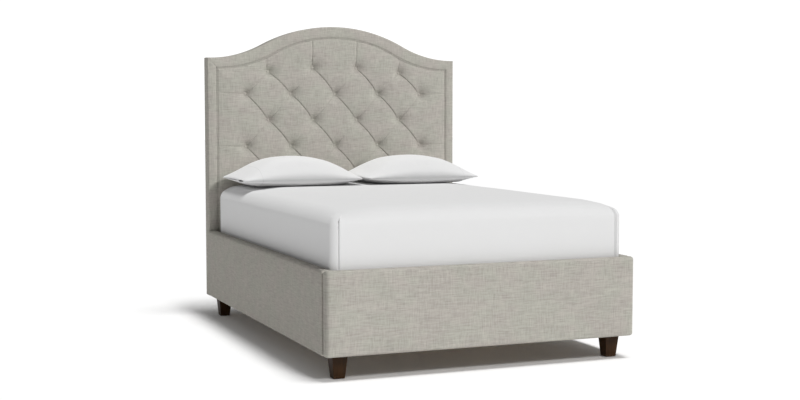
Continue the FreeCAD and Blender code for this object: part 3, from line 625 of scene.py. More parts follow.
@dataclass
class SoftBox:
    """A closed box with rounded edges, the start of every upholstered block and of the bedding.

    The upright edges have the two corner radii, at the foot side and at the head side, and grow rounder
    towards the top by the share grow. The top edges have radius top and the bottom edges radius bottom.
    """

    low: Point
    high: Point
    corner: tuple[float, float]
    top: float
    bottom: float
    step: float = 12 * MM
    turns: int = 6
    turns_up: int = 6
    grow: float = 0.0

    @property
    def zone(self) -> float:
        """How far from an upright edge the corner's shaping reaches."""
        return max(*self.corner, self.top, self.bottom)

    def lattice(self) -> tuple[Array, list[tuple[int, ...]]]:
        """Points and faces of the box's skin before it is rounded."""
        zone = self.zone
        xs, ys = (spaced(self.low[i], self.high[i], self.step, zone, zone, self.turns) for i in (0, 1))
        zs = spaced(self.low[2], self.high[2], self.step, self.bottom, self.top, self.turns_up)
        counts = (len(xs), len(ys), len(zs))
        number: dict[tuple[int, int, int], int] = {}
        points: list[Point] = []

        def point(i: int, j: int, k: int) -> int:
            """The number of a lattice point, made when first asked for."""
            key = (i, j, k)
            if key not in number:
                number[key] = len(points)
                points.append((xs[i], ys[j], zs[k]))
            return number[key]

        faces = []
        for axis in range(3):
            u, v = (axis + 1) % 3, (axis + 2) % 3
            for end in (0, counts[axis] - 1):
                for a in range(counts[u] - 1):
                    for c in range(counts[v] - 1):
                        quad = []
                        for da, dc in ((0, 0), (1, 0), (1, 1), (0, 1)):
                            key = [0, 0, 0]
                            key[axis], key[u], key[v] = end, a + da, c + dc
                            quad.append(point(*key))
                        faces.append(tuple(quad))
        return np.array(points), faces

    def rounded(self, points: Array) -> tuple[Array, Array]:
        """Rounds the lattice's points.

        Args:
            points: the lattice's points.

        Returns:
            The rounded points, and the outward direction at each.
        """
        low, high = np.array(self.low), np.array(self.high)
        centre, half = (low + high) / 2, (high - low) / 2
        p = points - centre
        size = abs(p)
        depth_side = np.minimum(half[0] - size[:, 0], half[1] - size[:, 1])
        z = p[:, 2].copy()
        inset = np.maximum(depth_side, 0.0)
        tilt = np.zeros(len(p))
        for sign, radius in ((1.0, self.top), (-1.0, self.bottom)):
            depth = half[2] - sign * p[:, 2]
            on_side = (depth_side < TINY) & (depth < radius)
            on_cap = (depth < TINY) & (depth_side < radius)
            angle = np.where(on_cap, 1 + depth_side / radius, 1 - depth / radius) * math.pi / 4
            both = on_side | on_cap
            inset = np.where(both, radius * (1 - np.cos(angle)), inset)
            z = np.where(both, sign * (half[2] - radius + radius * np.sin(angle)), z)
            flat = (depth < TINY) & ~on_cap
            tilt = np.where(both, sign * angle, np.where(flat, sign * math.pi / 2, tilt))
        zone = self.zone
        u = (size[:, 0] - (half[0] - zone)) / zone
        v = (size[:, 1] - (half[1] - zone)) / zone
        cornered = (u > TINY) & (v > TINY)
        along_x = np.where(cornered, u >= v, half[0] - size[:, 0] <= half[1] - size[:, 1])
        share = np.minimum(u, v) / np.maximum(np.maximum(u, v), 1e-9)
        radius = np.where(p[:, 1] < 0, self.corner[0], self.corner[1]) + self.grow * inset
        radius = np.clip(radius, 1e-6, np.maximum(zone - inset, 1e-6))
        straight = np.maximum(zone - inset - radius, 0.0)
        path = share * (straight + radius * math.pi / 4)
        turn = np.clip((path - straight) / radius, 0.0, math.pi / 4)
        major = -inset - radius * (1 - np.cos(turn))
        minor = -zone + np.minimum(path, straight) + radius * np.sin(turn)
        plain_x = np.where(along_x, half[0] - inset, size[:, 0])
        plain_y = np.where(along_x, size[:, 1], half[1] - inset)
        x = np.where(cornered, half[0] + np.where(along_x, major, minor), plain_x)
        y = np.where(cornered, half[1] + np.where(along_x, minor, major), plain_y)
        turn = np.where(cornered, turn, 0.0)
        way_x = np.where(along_x, np.cos(turn), np.sin(turn))
        way_y = np.where(along_x, np.sin(turn), np.cos(turn))
        signs = np.sign(p[:, :2])
        result = np.stack([x * signs[:, 0], y * signs[:, 1], z], 1) + centre
        level = np.cos(tilt)
        outward = np.stack([way_x * signs[:, 0] * level, way_y * signs[:, 1] * level, np.sin(tilt)], 1)
        return result, outward

    def build(self, name: str, swell: Callable[[Array, Array], Array] | None = None,
              keep: Callable[[Array], Array] | None = None) -> bpy.types.Object:
        """Builds the box.

        Args:
            name: the piece's name.
            swell: gives, from points and outward directions, how far each moves outward, or a vector each.
            keep: tells from the lattice's points which to keep, for an open skin.

        Returns:
            The object.
        """
        lattice, faces = self.lattice()
        points, outward = self.rounded(lattice)
        if swell is not None:
            move = swell(points, outward)
            points = points + (move if move.ndim == 2 else outward * move[:, None])
        if keep is not None:
            kept = keep(lattice)
            faces = [f for f in faces if all(kept[i] for i in f)]
            used = sorted({i for f in faces for i in f})
            renumber = {old: new for new, old in enumerate(used)}
            points = points[used]
            faces = [tuple(renumber[i] for i in f) for f in faces]
        return make_piece(name, points, faces)


class Hold(Enum):
    """How the cloth of a sheet is held."""

    STRETCHED = "stretched"
    FOLDED = "folded"


def settle(piece: bpy.types.Object, body: str, slot: str, finish: Finish, *nodes: str) -> bpy.types.Object:
    """Dresses a piece, makes it ride on its body and stand for its CAD nodes, and reports it."""
    finish.dress(piece)
    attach(piece, body)
    if nodes:
        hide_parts(*nodes)
    log.info("%s: %d points, on %s", piece.name, len(piece.data.vertices), body)
    return piece


# ---------------------------------------------------------------- headboard


@dataclass(frozen=True)
class Camelback:
    """An outline with straight sides and a top that rises from two hollow shoulders to a round crown."""

    half_width: float
    shoulder: float
    peak: float
    run: float
    hollow: float

    def top(self, x: Array) -> Array:
        """The height of the top edge at each x."""
        bend = 2 * math.atan((self.peak - self.shoulder) / self.run)
        crown = self.run / math.sin(bend) - self.hollow
        change = crown * math.sin(bend)
        at = np.minimum(abs(np.asarray(x, float)), self.run)
        over = self.peak - crown + np.sqrt(np.maximum(crown ** 2 - np.minimum(at, change) ** 2, 0.0))
        low = self.shoulder + self.hollow - np.sqrt(np.maximum(self.hollow ** 2 - (self.run - at) ** 2, 0.0))
        return np.where(at <= change, over, low)

    def inset(self, distance: float) -> "Camelback":
        """The same outline, drawn in by a distance."""
        return Camelback(self.half_width - distance, self.shoulder - distance, self.peak - distance,
                         self.run, self.hollow + distance)


@dataclass(frozen=True)
class Fold:
    """One pleat of the tufting, from a button towards another or towards the seam."""

    start: tuple[float, float]
    end: tuple[float, float]
    depth: float
    width: float
    bow: float = 0.0
    fade: float = 0.0
    soft: float = 0.0

    def sink(self, x: Array, z: Array) -> Array:
        """How far the pleat draws the cloth in at each place.

        Args:
            x: places across.
            z: places up.

        Returns:
            The depth in metres.
        """
        ax, az = self.start
        dx, dz = self.end[0] - ax, self.end[1] - az
        length = math.hypot(dx, dz)
        ux, uz = dx / length, dz / length
        along = ((x - ax) * ux + (z - az) * uz) / length
        aside = (x - ax) * -uz + (z - az) * ux
        inside = np.clip(along, 0.0, 1.0)
        aside = aside - self.bow * 4 * inside * (1 - inside)
        past = (along - inside) * length
        gap = np.hypot(aside, past)
        strength = 1.0 - self.fade * inside
        line = self.depth * np.exp(-(gap / self.width))
        valley = self.soft * np.exp(-(gap / 0.036) ** 2)
        return (line + valley) * strength


@dataclass
class Headboard:
    """The camelback headboard: tufted field, welt, border band, covered buttons and dust cover."""

    outer: Camelback = Camelback(0.730, 1.400, 1.580, 0.720, 0.654)
    seam: Camelback = Camelback(0.681, 1.347, 1.520, 0.671, 0.636)
    front: float = 0.947
    back: float = 1.0205
    base: float = 0.102
    pitch_x: float = 0.1295
    pitch_z: float = 0.145
    first_row: float = 1.3496
    outer_drop: float = 0.024
    rows: int = 6
    crown: float = 0.010
    pit: float = 0.015
    drag: float = 8 * MM
    button: float = 10.5 * MM
    cell: float = 2.7 * MM
    panel_front: float = 0.9783
    covered: float = 0.60
    welt_middle: float = 0.950
    welt_radius: float = 3.6 * MM
    mitre: float = 0.006
    button_seat: float = 4.0 * MM
    buttons: list[tuple[float, float]] = field(default_factory=list)

    def grid(self) -> list[tuple[int, int]]:
        """The row and the column of every button, in half pitches across from the middle."""
        even, odd = (-3, -1, 1, 3), (-4, -2, 0, 2, 4)
        return [(row, column) for row in range(self.rows) for column in (odd if row % 2 else even)]

    def __post_init__(self) -> None:
        """Places the buttons."""
        for row, column in self.grid():
            drop = self.outer_drop if row == 0 and abs(column) == 3 else 0.0
            self.buttons.append((column * self.pitch_x, self.first_row - row * self.pitch_z - drop))

    def folds(self) -> list[Fold]:
        """Every pleat between buttons and from the outer buttons to the seam."""
        found = []
        grid = dict(zip(self.grid(), self.buttons))
        chance = np.random.default_rng(7)
        for (row, column), place in grid.items():
            right = grid.get((row + 1, column + 1))
            left = grid.get((row + 1, column - 1))
            if right:
                bow = 4.5 * MM * chance.uniform(0.7, 1.3)
                found.append(Fold(place, right, 8.0 * MM, 1.7 * MM, bow, 0.0, 2.2 * MM))
            if left:
                middle = tuple((p + q) / 2 for p, q in zip(place, left))
                found.append(Fold(place, middle, 6.0 * MM, 2.4 * MM, 2 * MM, 0.68, 1.5 * MM))
                found.append(Fold(left, middle, 7.0 * MM, 2.4 * MM, -2 * MM, 0.68, 1.5 * MM))
            if row == 0:
                above = (place[0] * 1.02, float(self.seam.top(place[0])) - 4 * MM)
                depth = 8.5 * MM if abs(column) == 1 else 7 * MM
                found.append(Fold(place, above, depth, 2.4 * MM, 4 * MM, 0.6, 1.5 * MM))
            if abs(column) == 4:
                edge = (math.copysign(self.seam.half_width - 8 * MM, column), place[1] + 6 * MM)
                found.append(Fold(place, edge, 6.5 * MM, 2.8 * MM, 0.0, 0.7, 1.5 * MM))
            if abs(column) == 3 and row > 0:
                edge = (math.copysign(0.50, column), place[1] + 2 * MM)
                found.append(Fold(place, edge, 3.0 * MM, 6 * MM, 0.0, 1.0, 1.5 * MM))
        return found

    def field_front(self, x: Array, z: Array) -> Array:
        """The Y of the tufted field's face at each place.

        Args:
            x: places across.
            z: places up.

        Returns:
            Y in metres; less is nearer the room.
        """
        nearest = np.full_like(x, 9.0)
        beside = np.full_like(x, 9.0)
        for bx, bz in self.buttons:
            nearest = np.minimum(nearest, np.hypot(x - bx, z - bz))
            beside = np.minimum(beside, np.hypot(x - bx - self.drag, z - bz - self.drag))
        lines = np.zeros_like(x)
        for fold in self.folds():
            sink = fold.sink(x, z)
            lines = np.maximum(lines, sink) + 0.25 * np.minimum(lines, sink)
        away = 1 - np.exp(-(nearest / 0.020) ** 2)
        dish = self.pit * np.exp(-(nearest / 0.018) ** 1.5) + 0.021 * np.exp(-(beside / 0.034) ** 1.4)
        depth = dish + lines * (0.35 + 0.65 * away)
        floor = self.seam.inset(5.5 * MM)
        rim = np.minimum(floor.half_width - abs(x), (floor.top(x) - z) * 0.97)
        rim = np.minimum(rim, z - self.base)
        roll = np.clip(1 - rim / 0.007, 0.0, 1.0)
        plump = self.crown * (1 - np.exp(-np.maximum(rim, 0.0) / 0.05)) + 1.5 * MM
        uneven = 0.8 * MM * ripple(np.stack([x, x * 0, z], 1), 0.16, 11)
        return self.front - plump + depth + 0.0045 * roll ** 2.2 + uneven

    def build_field(self) -> bpy.types.Object:
        """The tufted field: a fine face, sides and a plain back against the panel."""
        outline = self.seam.inset(5 * MM)
        step = self.cell
        across = int(2 * outline.half_width / step) | 1
        xs = np.linspace(-outline.half_width, outline.half_width, across + 1)
        hidden = np.linspace(self.base + 10 * MM, self.covered, 26)[:-1]
        visible = int((outline.peak - self.covered) / step)
        share = np.linspace(0.0, 1.0, visible)
        tops = outline.top(xs)
        low = self.covered
        columns = np.stack([np.concatenate([hidden, low + share * (top - low)]) for top in tops])
        rows = columns.shape[1]
        gx = np.repeat(xs, rows)
        gz = columns.ravel()
        face = np.stack([gx, self.field_front(gx, gz), gz], 1)
        faces = grid_faces(len(xs), rows)
        left = list(range(rows))
        top = [i * rows + rows - 1 for i in range(1, len(xs))]
        right = [(len(xs) - 1) * rows + k for k in range(rows - 2, -1, -1)]
        bottom = [i * rows for i in range(len(xs) - 2, 0, -1)]
        rim = left + top + right + bottom
        wall = face[rim].copy()
        wall[:, 1] = self.panel_front
        start = len(face)
        count = len(rim)
        for k in range(count):
            m = (k + 1) % count
            faces.append((rim[k], rim[m], start + m, start + k))
        faces.append(tuple(start + k for k in range(count)))
        return make_piece("headboard_tufted_field", np.concatenate([face, wall]), faces, 60)

    def stations(self) -> tuple[Array, Array, Array]:
        """Places along the border from the left foot, over the top, to the right foot.

        Returns:
            The inner points, the outer points (each x, z), and how near each is to a mitre, 0 to 1.
        """
        upright = np.concatenate([np.linspace(0.0, 0.93, 60), np.linspace(0.94, 1.0, 13)])
        near_left, near_right = np.linspace(-1, -0.955, 10), np.linspace(0.955, 1, 10)
        over = np.concatenate([near_left, np.linspace(-0.95, 0.95, 150), near_right])
        side_run, top_run = 1.27, 0.70
        inner, outer, mitre = [], [], []

        def climb(side: int, shares: Array) -> None:
            """Adds the stations of one upright side, -1 for the left."""
            for share in shares:
                for line, found in ((self.seam, inner), (self.outer, outer)):
                    found.append((side * line.half_width, self.base + share * (line.shoulder - self.base)))
                mitre.append(math.exp(-((1 - share) * side_run / self.mitre) ** 2))

        climb(-1, upright)
        for share in over[1:-1]:
            for line, found in ((self.seam, inner), (self.outer, outer)):
                x = share * line.half_width
                found.append((x, float(line.top(x))))
            mitre.append(math.exp(-((1 - abs(share)) * top_run / self.mitre) ** 2))
        climb(1, upright[::-1])
        return np.array(inner), np.array(outer), np.array(mitre)

    def build_border(self) -> bpy.types.Object:
        """The padded band round the field, mitred at the shoulders and wrapped to the back."""
        inner, outer, mitre = self.stations()
        radius = 9 * MM
        turn = np.linspace(0, math.pi / 2, 7)
        band = np.linspace(0.0, 1.0, 12)
        rings = []
        for (xi, zi), (xo, zo), near in zip(inner, outer, mitre):
            width = math.hypot(xo - xi, zo - zi)
            profile = []
            for w in band:
                d = w * (width - radius)
                edge = max(0.0, 1 - d / (3 * MM))
                y = self.front - 2 * MM * math.sin(math.pi * min(1.0, w + 0.08)) + 2 * MM * edge ** 2
                profile.append((d, y + 1.8 * MM * near))
            for angle in turn[1:]:
                out = width - radius + radius * math.sin(angle)
                profile.append((out, self.front + radius * (1 - math.cos(angle))))
            for y in np.linspace(self.front + radius, self.back - 5 * MM, 6)[1:]:
                profile.append((width, y))
            for angle in turn[2::2]:
                out = width - 4 * MM * (1 - math.cos(angle))
                profile.append((out, self.back - 4 * MM * (1 - math.sin(angle))))
            profile.append((width - 26 * MM, self.back))
            profile.append((2 * MM, self.back - 20 * MM))
            profile.append((-2 * MM, self.front + 12 * MM))
            ux, uz = (xo - xi) / width, (zo - zi) / width
            rings.append([(xi + ux * d, y, zi + uz * d) for d, y in profile])
        return swept("headboard_border_band", np.array(rings), sharp=62)

    def build_welt(self) -> bpy.types.Object:
        """The covered cord sewn between field and border, slightly puckered by its stitching."""
        line = self.seam.inset(3.4 * MM)
        upright = np.linspace(self.base + 2 * MM, line.shoulder, 150)
        over = np.linspace(-line.half_width, line.half_width, 260)
        path = [(-line.half_width, z) for z in upright]
        path += [(x, float(line.top(x))) for x in over[1:-1]]
        path += [(line.half_width, z) for z in upright[::-1]]
        path = np.array(path)
        way = np.gradient(path, axis=0)
        way /= np.linalg.norm(way, axis=1)[:, None]
        run = np.concatenate([[0.0], np.cumsum(np.linalg.norm(np.diff(path, axis=0), axis=1))])
        angles = np.linspace(0, FULL_TURN, 13)[:-1]
        rings = []
        for (x, z), (dx, dz), s in zip(path, way, run):
            radius = self.welt_radius + 0.2 * MM * math.sin(s * 2 * math.pi / 0.017)
            ring = []
            for a in angles:
                aside = radius * math.cos(a)
                ring.append((x - dz * aside, self.welt_middle + radius * math.sin(a), z + dx * aside))
            rings.append(ring)
        return swept("headboard_welt_cord", np.array(rings))

    def build_buttons(self) -> bpy.types.Object:
        """The covered buttons: domed caps whose cloth is gathered under the rim."""
        chance = np.random.default_rng(23)
        around, points, faces = 20, [], []
        rise = [(0.0, -6.0), (0.35, -5.7), (0.62, -4.8), (0.84, -3.3),
                (0.97, -1.4), (1.0, 0.6), (0.93, 2.4), (0.70, 3.4)]
        for bx, bz in self.buttons:
            seat = float(self.field_front(np.array([bx]), np.array([bz]))[0]) - self.button_seat
            lean_x, lean_z = chance.uniform(-0.06, 0.06, 2)
            start = len(points)
            points.append((bx, seat + rise[0][1] * MM, bz))
            for share, lift in rise[1:]:
                for k in range(around):
                    angle = 2 * math.pi * k / around
                    pleat = 1 + (0.02 * math.cos(5 * angle) if share > 0.9 else 0.0)
                    r = self.button * share * pleat
                    x, z = r * math.cos(angle), r * math.sin(angle)
                    points.append((bx + x, seat + lift * MM + lean_x * x + lean_z * z, bz + z))
            for k in range(around):
                faces.append((start, start + 1 + k, start + 1 + (k + 1) % around))
            for ring in range(len(rise) - 2):
                a, c = start + 1 + ring * around, start + 1 + (ring + 1) * around
                for k in range(around):
                    m = (k + 1) % around
                    faces.append((a + k, a + m, c + m, c + k))
            last = start + 1 + (len(rise) - 2) * around
            faces.append(tuple(last + k for k in range(around)))
        return make_piece("headboard_buttons", np.array(points), faces)

    def build_dust_cover(self) -> bpy.types.Object:
        """The cloth over the back, turned under and stapled, drawn in a little at each staple."""
        outline = self.outer.inset(4 * MM)
        xs = np.linspace(-outline.half_width, outline.half_width, 146)
        share = np.linspace(0.0, 1.0, 150)
        low = self.base + 4 * MM
        staple_pitch = 0.05
        points = []
        for x in xs:
            top = float(outline.top(x))
            for s in share:
                z = low + s * (top - low)
                rim = min(outline.half_width - abs(x), (top - z) * 0.97, z - low)
                tuck = math.exp(-(rim / 0.012) ** 2)
                run = x if top - z < 0.02 or z - low < 0.02 else z
                pull = 0.5 * MM * tuck * math.cos(run * 2 * math.pi / staple_pitch)
                belly = 0.6 * MM * (1 - math.exp(-rim / 0.03))
                points.append((x, self.back + 1.3 * MM - 0.5 * MM * tuck + pull * 0.3 + belly, z))
        piece = make_piece("headboard_dust_cover", np.array(points), grid_faces(len(xs), len(share)))
        thicken(piece, 0.7 * MM, 0.0)
        return piece

    def build(self, cloth: Finish, cord: Finish) -> None:
        tufted = settle(self.build_field(), "bed_frame", "upholstery_linen", cloth, "headboard_tufted_pad")
        band = settle(self.build_border(), "bed_frame", "upholstery_linen", cloth, "headboard_border")
        welt = settle(self.build_welt(), "bed_frame", "welt_linen", cord, "headboard_welt")
        caps = settle(self.build_buttons(), "bed_frame", "upholstery_linen", cloth, "tuft_buttons")
        back = settle(self.build_dust_cover(), "bed_frame", "upholstery_linen", cloth, "headboard_back_cover")


# ---------------------------------------------------------------- rails and footboard


@dataclass
class PaddedBoard:
    """A rail or footboard: a board wrapped in thin padding and linen, its faces slightly crowned."""

    name: str
    low: Point
    high: Point
    node: str
    face: Point
    seed: int
    ends: tuple[float, float]
    radius: float = 13 * MM
    crown: float = 2.5 * MM

    def swell(self, points: Array, outward: Array) -> Array:
        """How far the padding lifts the cloth outward at each point, on the show faces only."""
        low, high = np.array(self.low), np.array(self.high)
        share = (points - low) / (high - low)
        arch = np.ones(len(points))
        for axis in range(3):
            if abs(self.face[axis]) < 0.5:
                span = high[axis] - low[axis]
                rim = np.minimum(share[:, axis], 1 - share[:, axis]) * span
                arch *= 1 - np.exp(-(np.maximum(rim, 0.0) / 0.035) ** 1.5)
        shown = np.clip(outward @ np.array(self.face), 0.0, 1.0)
        uneven = ripple(points, 0.30, self.seed) * 0.7 * MM
        return shown * (self.crown * arch + uneven * arch)

    def build(self, cloth: Finish) -> None:
        box = SoftBox(self.low, self.high, self.ends, self.radius, self.radius, 16 * MM)
        piece = box.build(self.name, self.swell)
        settle(piece, "bed_frame", "upholstery_linen", cloth, self.node)


# ---------------------------------------------------------------- mattress and sheet


@dataclass
class Bedding:
    """The mattress with its taped edges, and the sheet drawn over it and folded at the corners."""

    half_width: float = 0.6848
    foot: float = -0.974
    head: float = 0.9286
    under: float = 0.401
    top: float = 0.7186
    corner: float = 0.031
    block_corner: float = 0.064
    head_corner: float = 0.085
    shoulder: float = 0.074
    heel: float = 0.030
    tuck: float = 0.110
    cloth: float = 2.2 * MM
    fall: float = 17 * MM
    pleat_angle: float = 74.0
    pleat_lift: float = 7.0 * MM
    pleat_groove: float = 13.0 * MM

    def box(self, inset: float, step: float, turns: int, turns_up: int) -> SoftBox:
        """The rounded block of the bedding, drawn in by inset."""
        low = (-self.half_width + inset, self.foot + inset, self.under + inset)
        high = (self.half_width - inset, self.head - inset, self.top - inset)
        radius = self.block_corner if inset else self.corner
        corner = (radius - inset, max(radius, self.head_corner) - inset)
        return SoftBox(low, high, corner, self.shoulder - inset, self.heel, step, turns, turns_up, 0.6)

    def crown(self, points: Array) -> Array:
        """How far the top rises above flat at each point; it stays down under the pillows."""
        reach_x = 1 - (points[:, 0] / self.half_width) ** 2
        middle = (self.foot + 0.30) / 2
        reach_y = np.clip(1 - ((points[:, 1] - middle) / 0.66) ** 2, 0.0, 1.0)
        from_side = self.half_width - abs(points[:, 0])
        from_foot = points[:, 1] - self.foot
        fall = self.fall * (1 - smooth(from_side, 0.02, 0.24))
        fall = fall + 0.4 * self.fall * (1 - smooth(from_foot, 0.02, 0.24))
        return 5.0 * MM * np.clip(reach_x, 0.0, 1.0) * reach_y - fall

    def swell_mattress(self, points: Array, outward: Array) -> Array:
        """The ticking's puffs between quilting lines, and the crown of the top."""
        up = np.clip(outward[:, 2], 0.0, 1.0)
        quilt = 0.12
        waves = np.sin(points[:, :2] * 2 * math.pi / quilt)
        puff = 0.8 * MM * (waves[:, 0] * waves[:, 1])
        return up * (self.crown(points) + puff - 0.8 * MM) - 0.4 * MM

    def swell_sheet(self, points: Array, outward: Array) -> Array:
        """Crown, soft unevenness and the folded pleat at each upright corner, as a move for each point."""
        up = np.clip(outward[:, 2], 0.0, 1.0)
        calm = 1 - smooth(points[:, 1], 0.25, 0.42)
        drift = ripple(points, 0.42, 31) * 0.9 * MM
        lift = up * (self.crown(points) + drift * calm)
        flat = np.hypot(outward[:, 0], outward[:, 1])
        upright = smooth(flat, 0.55, 0.95)
        lift += upright * (ripple(points, 0.36, 37) * 0.6 * MM - 0.6 * MM)
        angle = np.degrees(np.arctan2(abs(outward[:, 1]), np.maximum(abs(outward[:, 0]), 1e-9)))
        depth = self.top - points[:, 2]
        above = smooth(points[:, 2], self.under + 0.005, self.under + 0.04)
        reach = smooth(depth, 0.012, 0.048) * above * upright
        middle = (self.foot + self.head) / 2
        from_end = (self.head - self.foot) / 2 - abs(points[:, 1] - middle)
        beside = np.exp(-(np.maximum(from_end - self.corner, 0.0) / 0.05) ** 1.5)
        past = angle - self.pleat_angle
        flap = np.where(past < 0, 1.0, 0.0) * beside
        groove = (1 - smooth(past, 7.0, 16.0)) * np.where(past >= 0, 1.0, 0.0)
        near = self.half_width - abs(points[:, 0]) < self.corner
        groove = groove * near
        lift += reach * (self.pleat_lift * flap - self.pleat_groove * groove)
        lip = np.exp(-(np.minimum(past, 0.0) / 4.0) ** 2) * flap * reach
        along_x = -abs(outward[:, 1]) * np.sign(outward[:, 0])
        along_y = abs(outward[:, 0]) * np.sign(outward[:, 1])
        along = np.stack([along_x, along_y, np.zeros(len(points))], 1)
        return outward * lift[:, None] + along * (lip * 2.2 * MM)[:, None]

    def build_tape(self, height: float, name: str) -> bpy.types.Object:
        """The binding tape round the mattress at one height."""
        inset = self.cloth + 0.6 * MM
        half = (self.half_width - inset, (self.head - self.foot) / 2 - inset)
        middle = (self.head + self.foot) / 2
        radius = self.block_corner - inset
        path = []
        for quarter in range(4):
            sx, sy = ((1, 1), (-1, 1), (-1, -1), (1, -1))[quarter]
            for k in range(17):
                angle = math.pi / 2 * (quarter + k / 16)
                path.append((sx * (half[0] - radius) + radius * math.cos(angle),
                             middle + sy * (half[1] - radius) + radius * math.sin(angle), math.cos(angle),
                             math.sin(angle)))
        rings = []
        for x, y, nx, ny in path:
            ring = []
            for k in range(10):
                turn = 2 * math.pi * k / 10
                out = 1.2 * MM * math.cos(turn)
                ring.append((x + nx * out, y + ny * out, height + 9 * MM * math.sin(turn)))
            rings.append(ring)
        return swept(name, np.array(rings), looped=True)

    def build(self, ticking: Finish, cotton: Finish, tape: Finish) -> None:
        """Builds and dresses mattress and sheet."""
        mattress = self.box(self.cloth, 26 * MM, 10, 8).build("mattress_block", self.swell_mattress)
        settle(mattress, "mattress_body", "mattress_ticking", ticking, "mattress")
        tapes = (("mattress_tape_lower", self.under + 0.048), ("mattress_tape_upper", self.top - 0.085))
        for name, height in tapes:
            piece = settle(self.build_tape(height, name), "mattress_body", "mattress_ticking", tape)

        def kept(lattice: Array) -> Array:
            """Leaves the sheet open under the mattress, past what is turned under."""
            rim = np.minimum(self.half_width - abs(lattice[:, 0]),
                             np.minimum(lattice[:, 1] - self.foot, self.head - lattice[:, 1]))
            return (lattice[:, 2] > self.under + 1e-6) | (rim < self.tuck)

        sheet = self.box(0.0, 22 * MM, 38, 12).build("bed_sheet_cotton", self.swell_sheet, kept)
        settle(sheet, "mattress_body", "sheet_cotton", cotton, "bed_sheet")
        turned = self.top - self.under + self.tuck
        flat = (2 * self.half_width + 2 * turned, self.head - self.foot + 2 * turned)


# ---------------------------------------------------------------- pillows


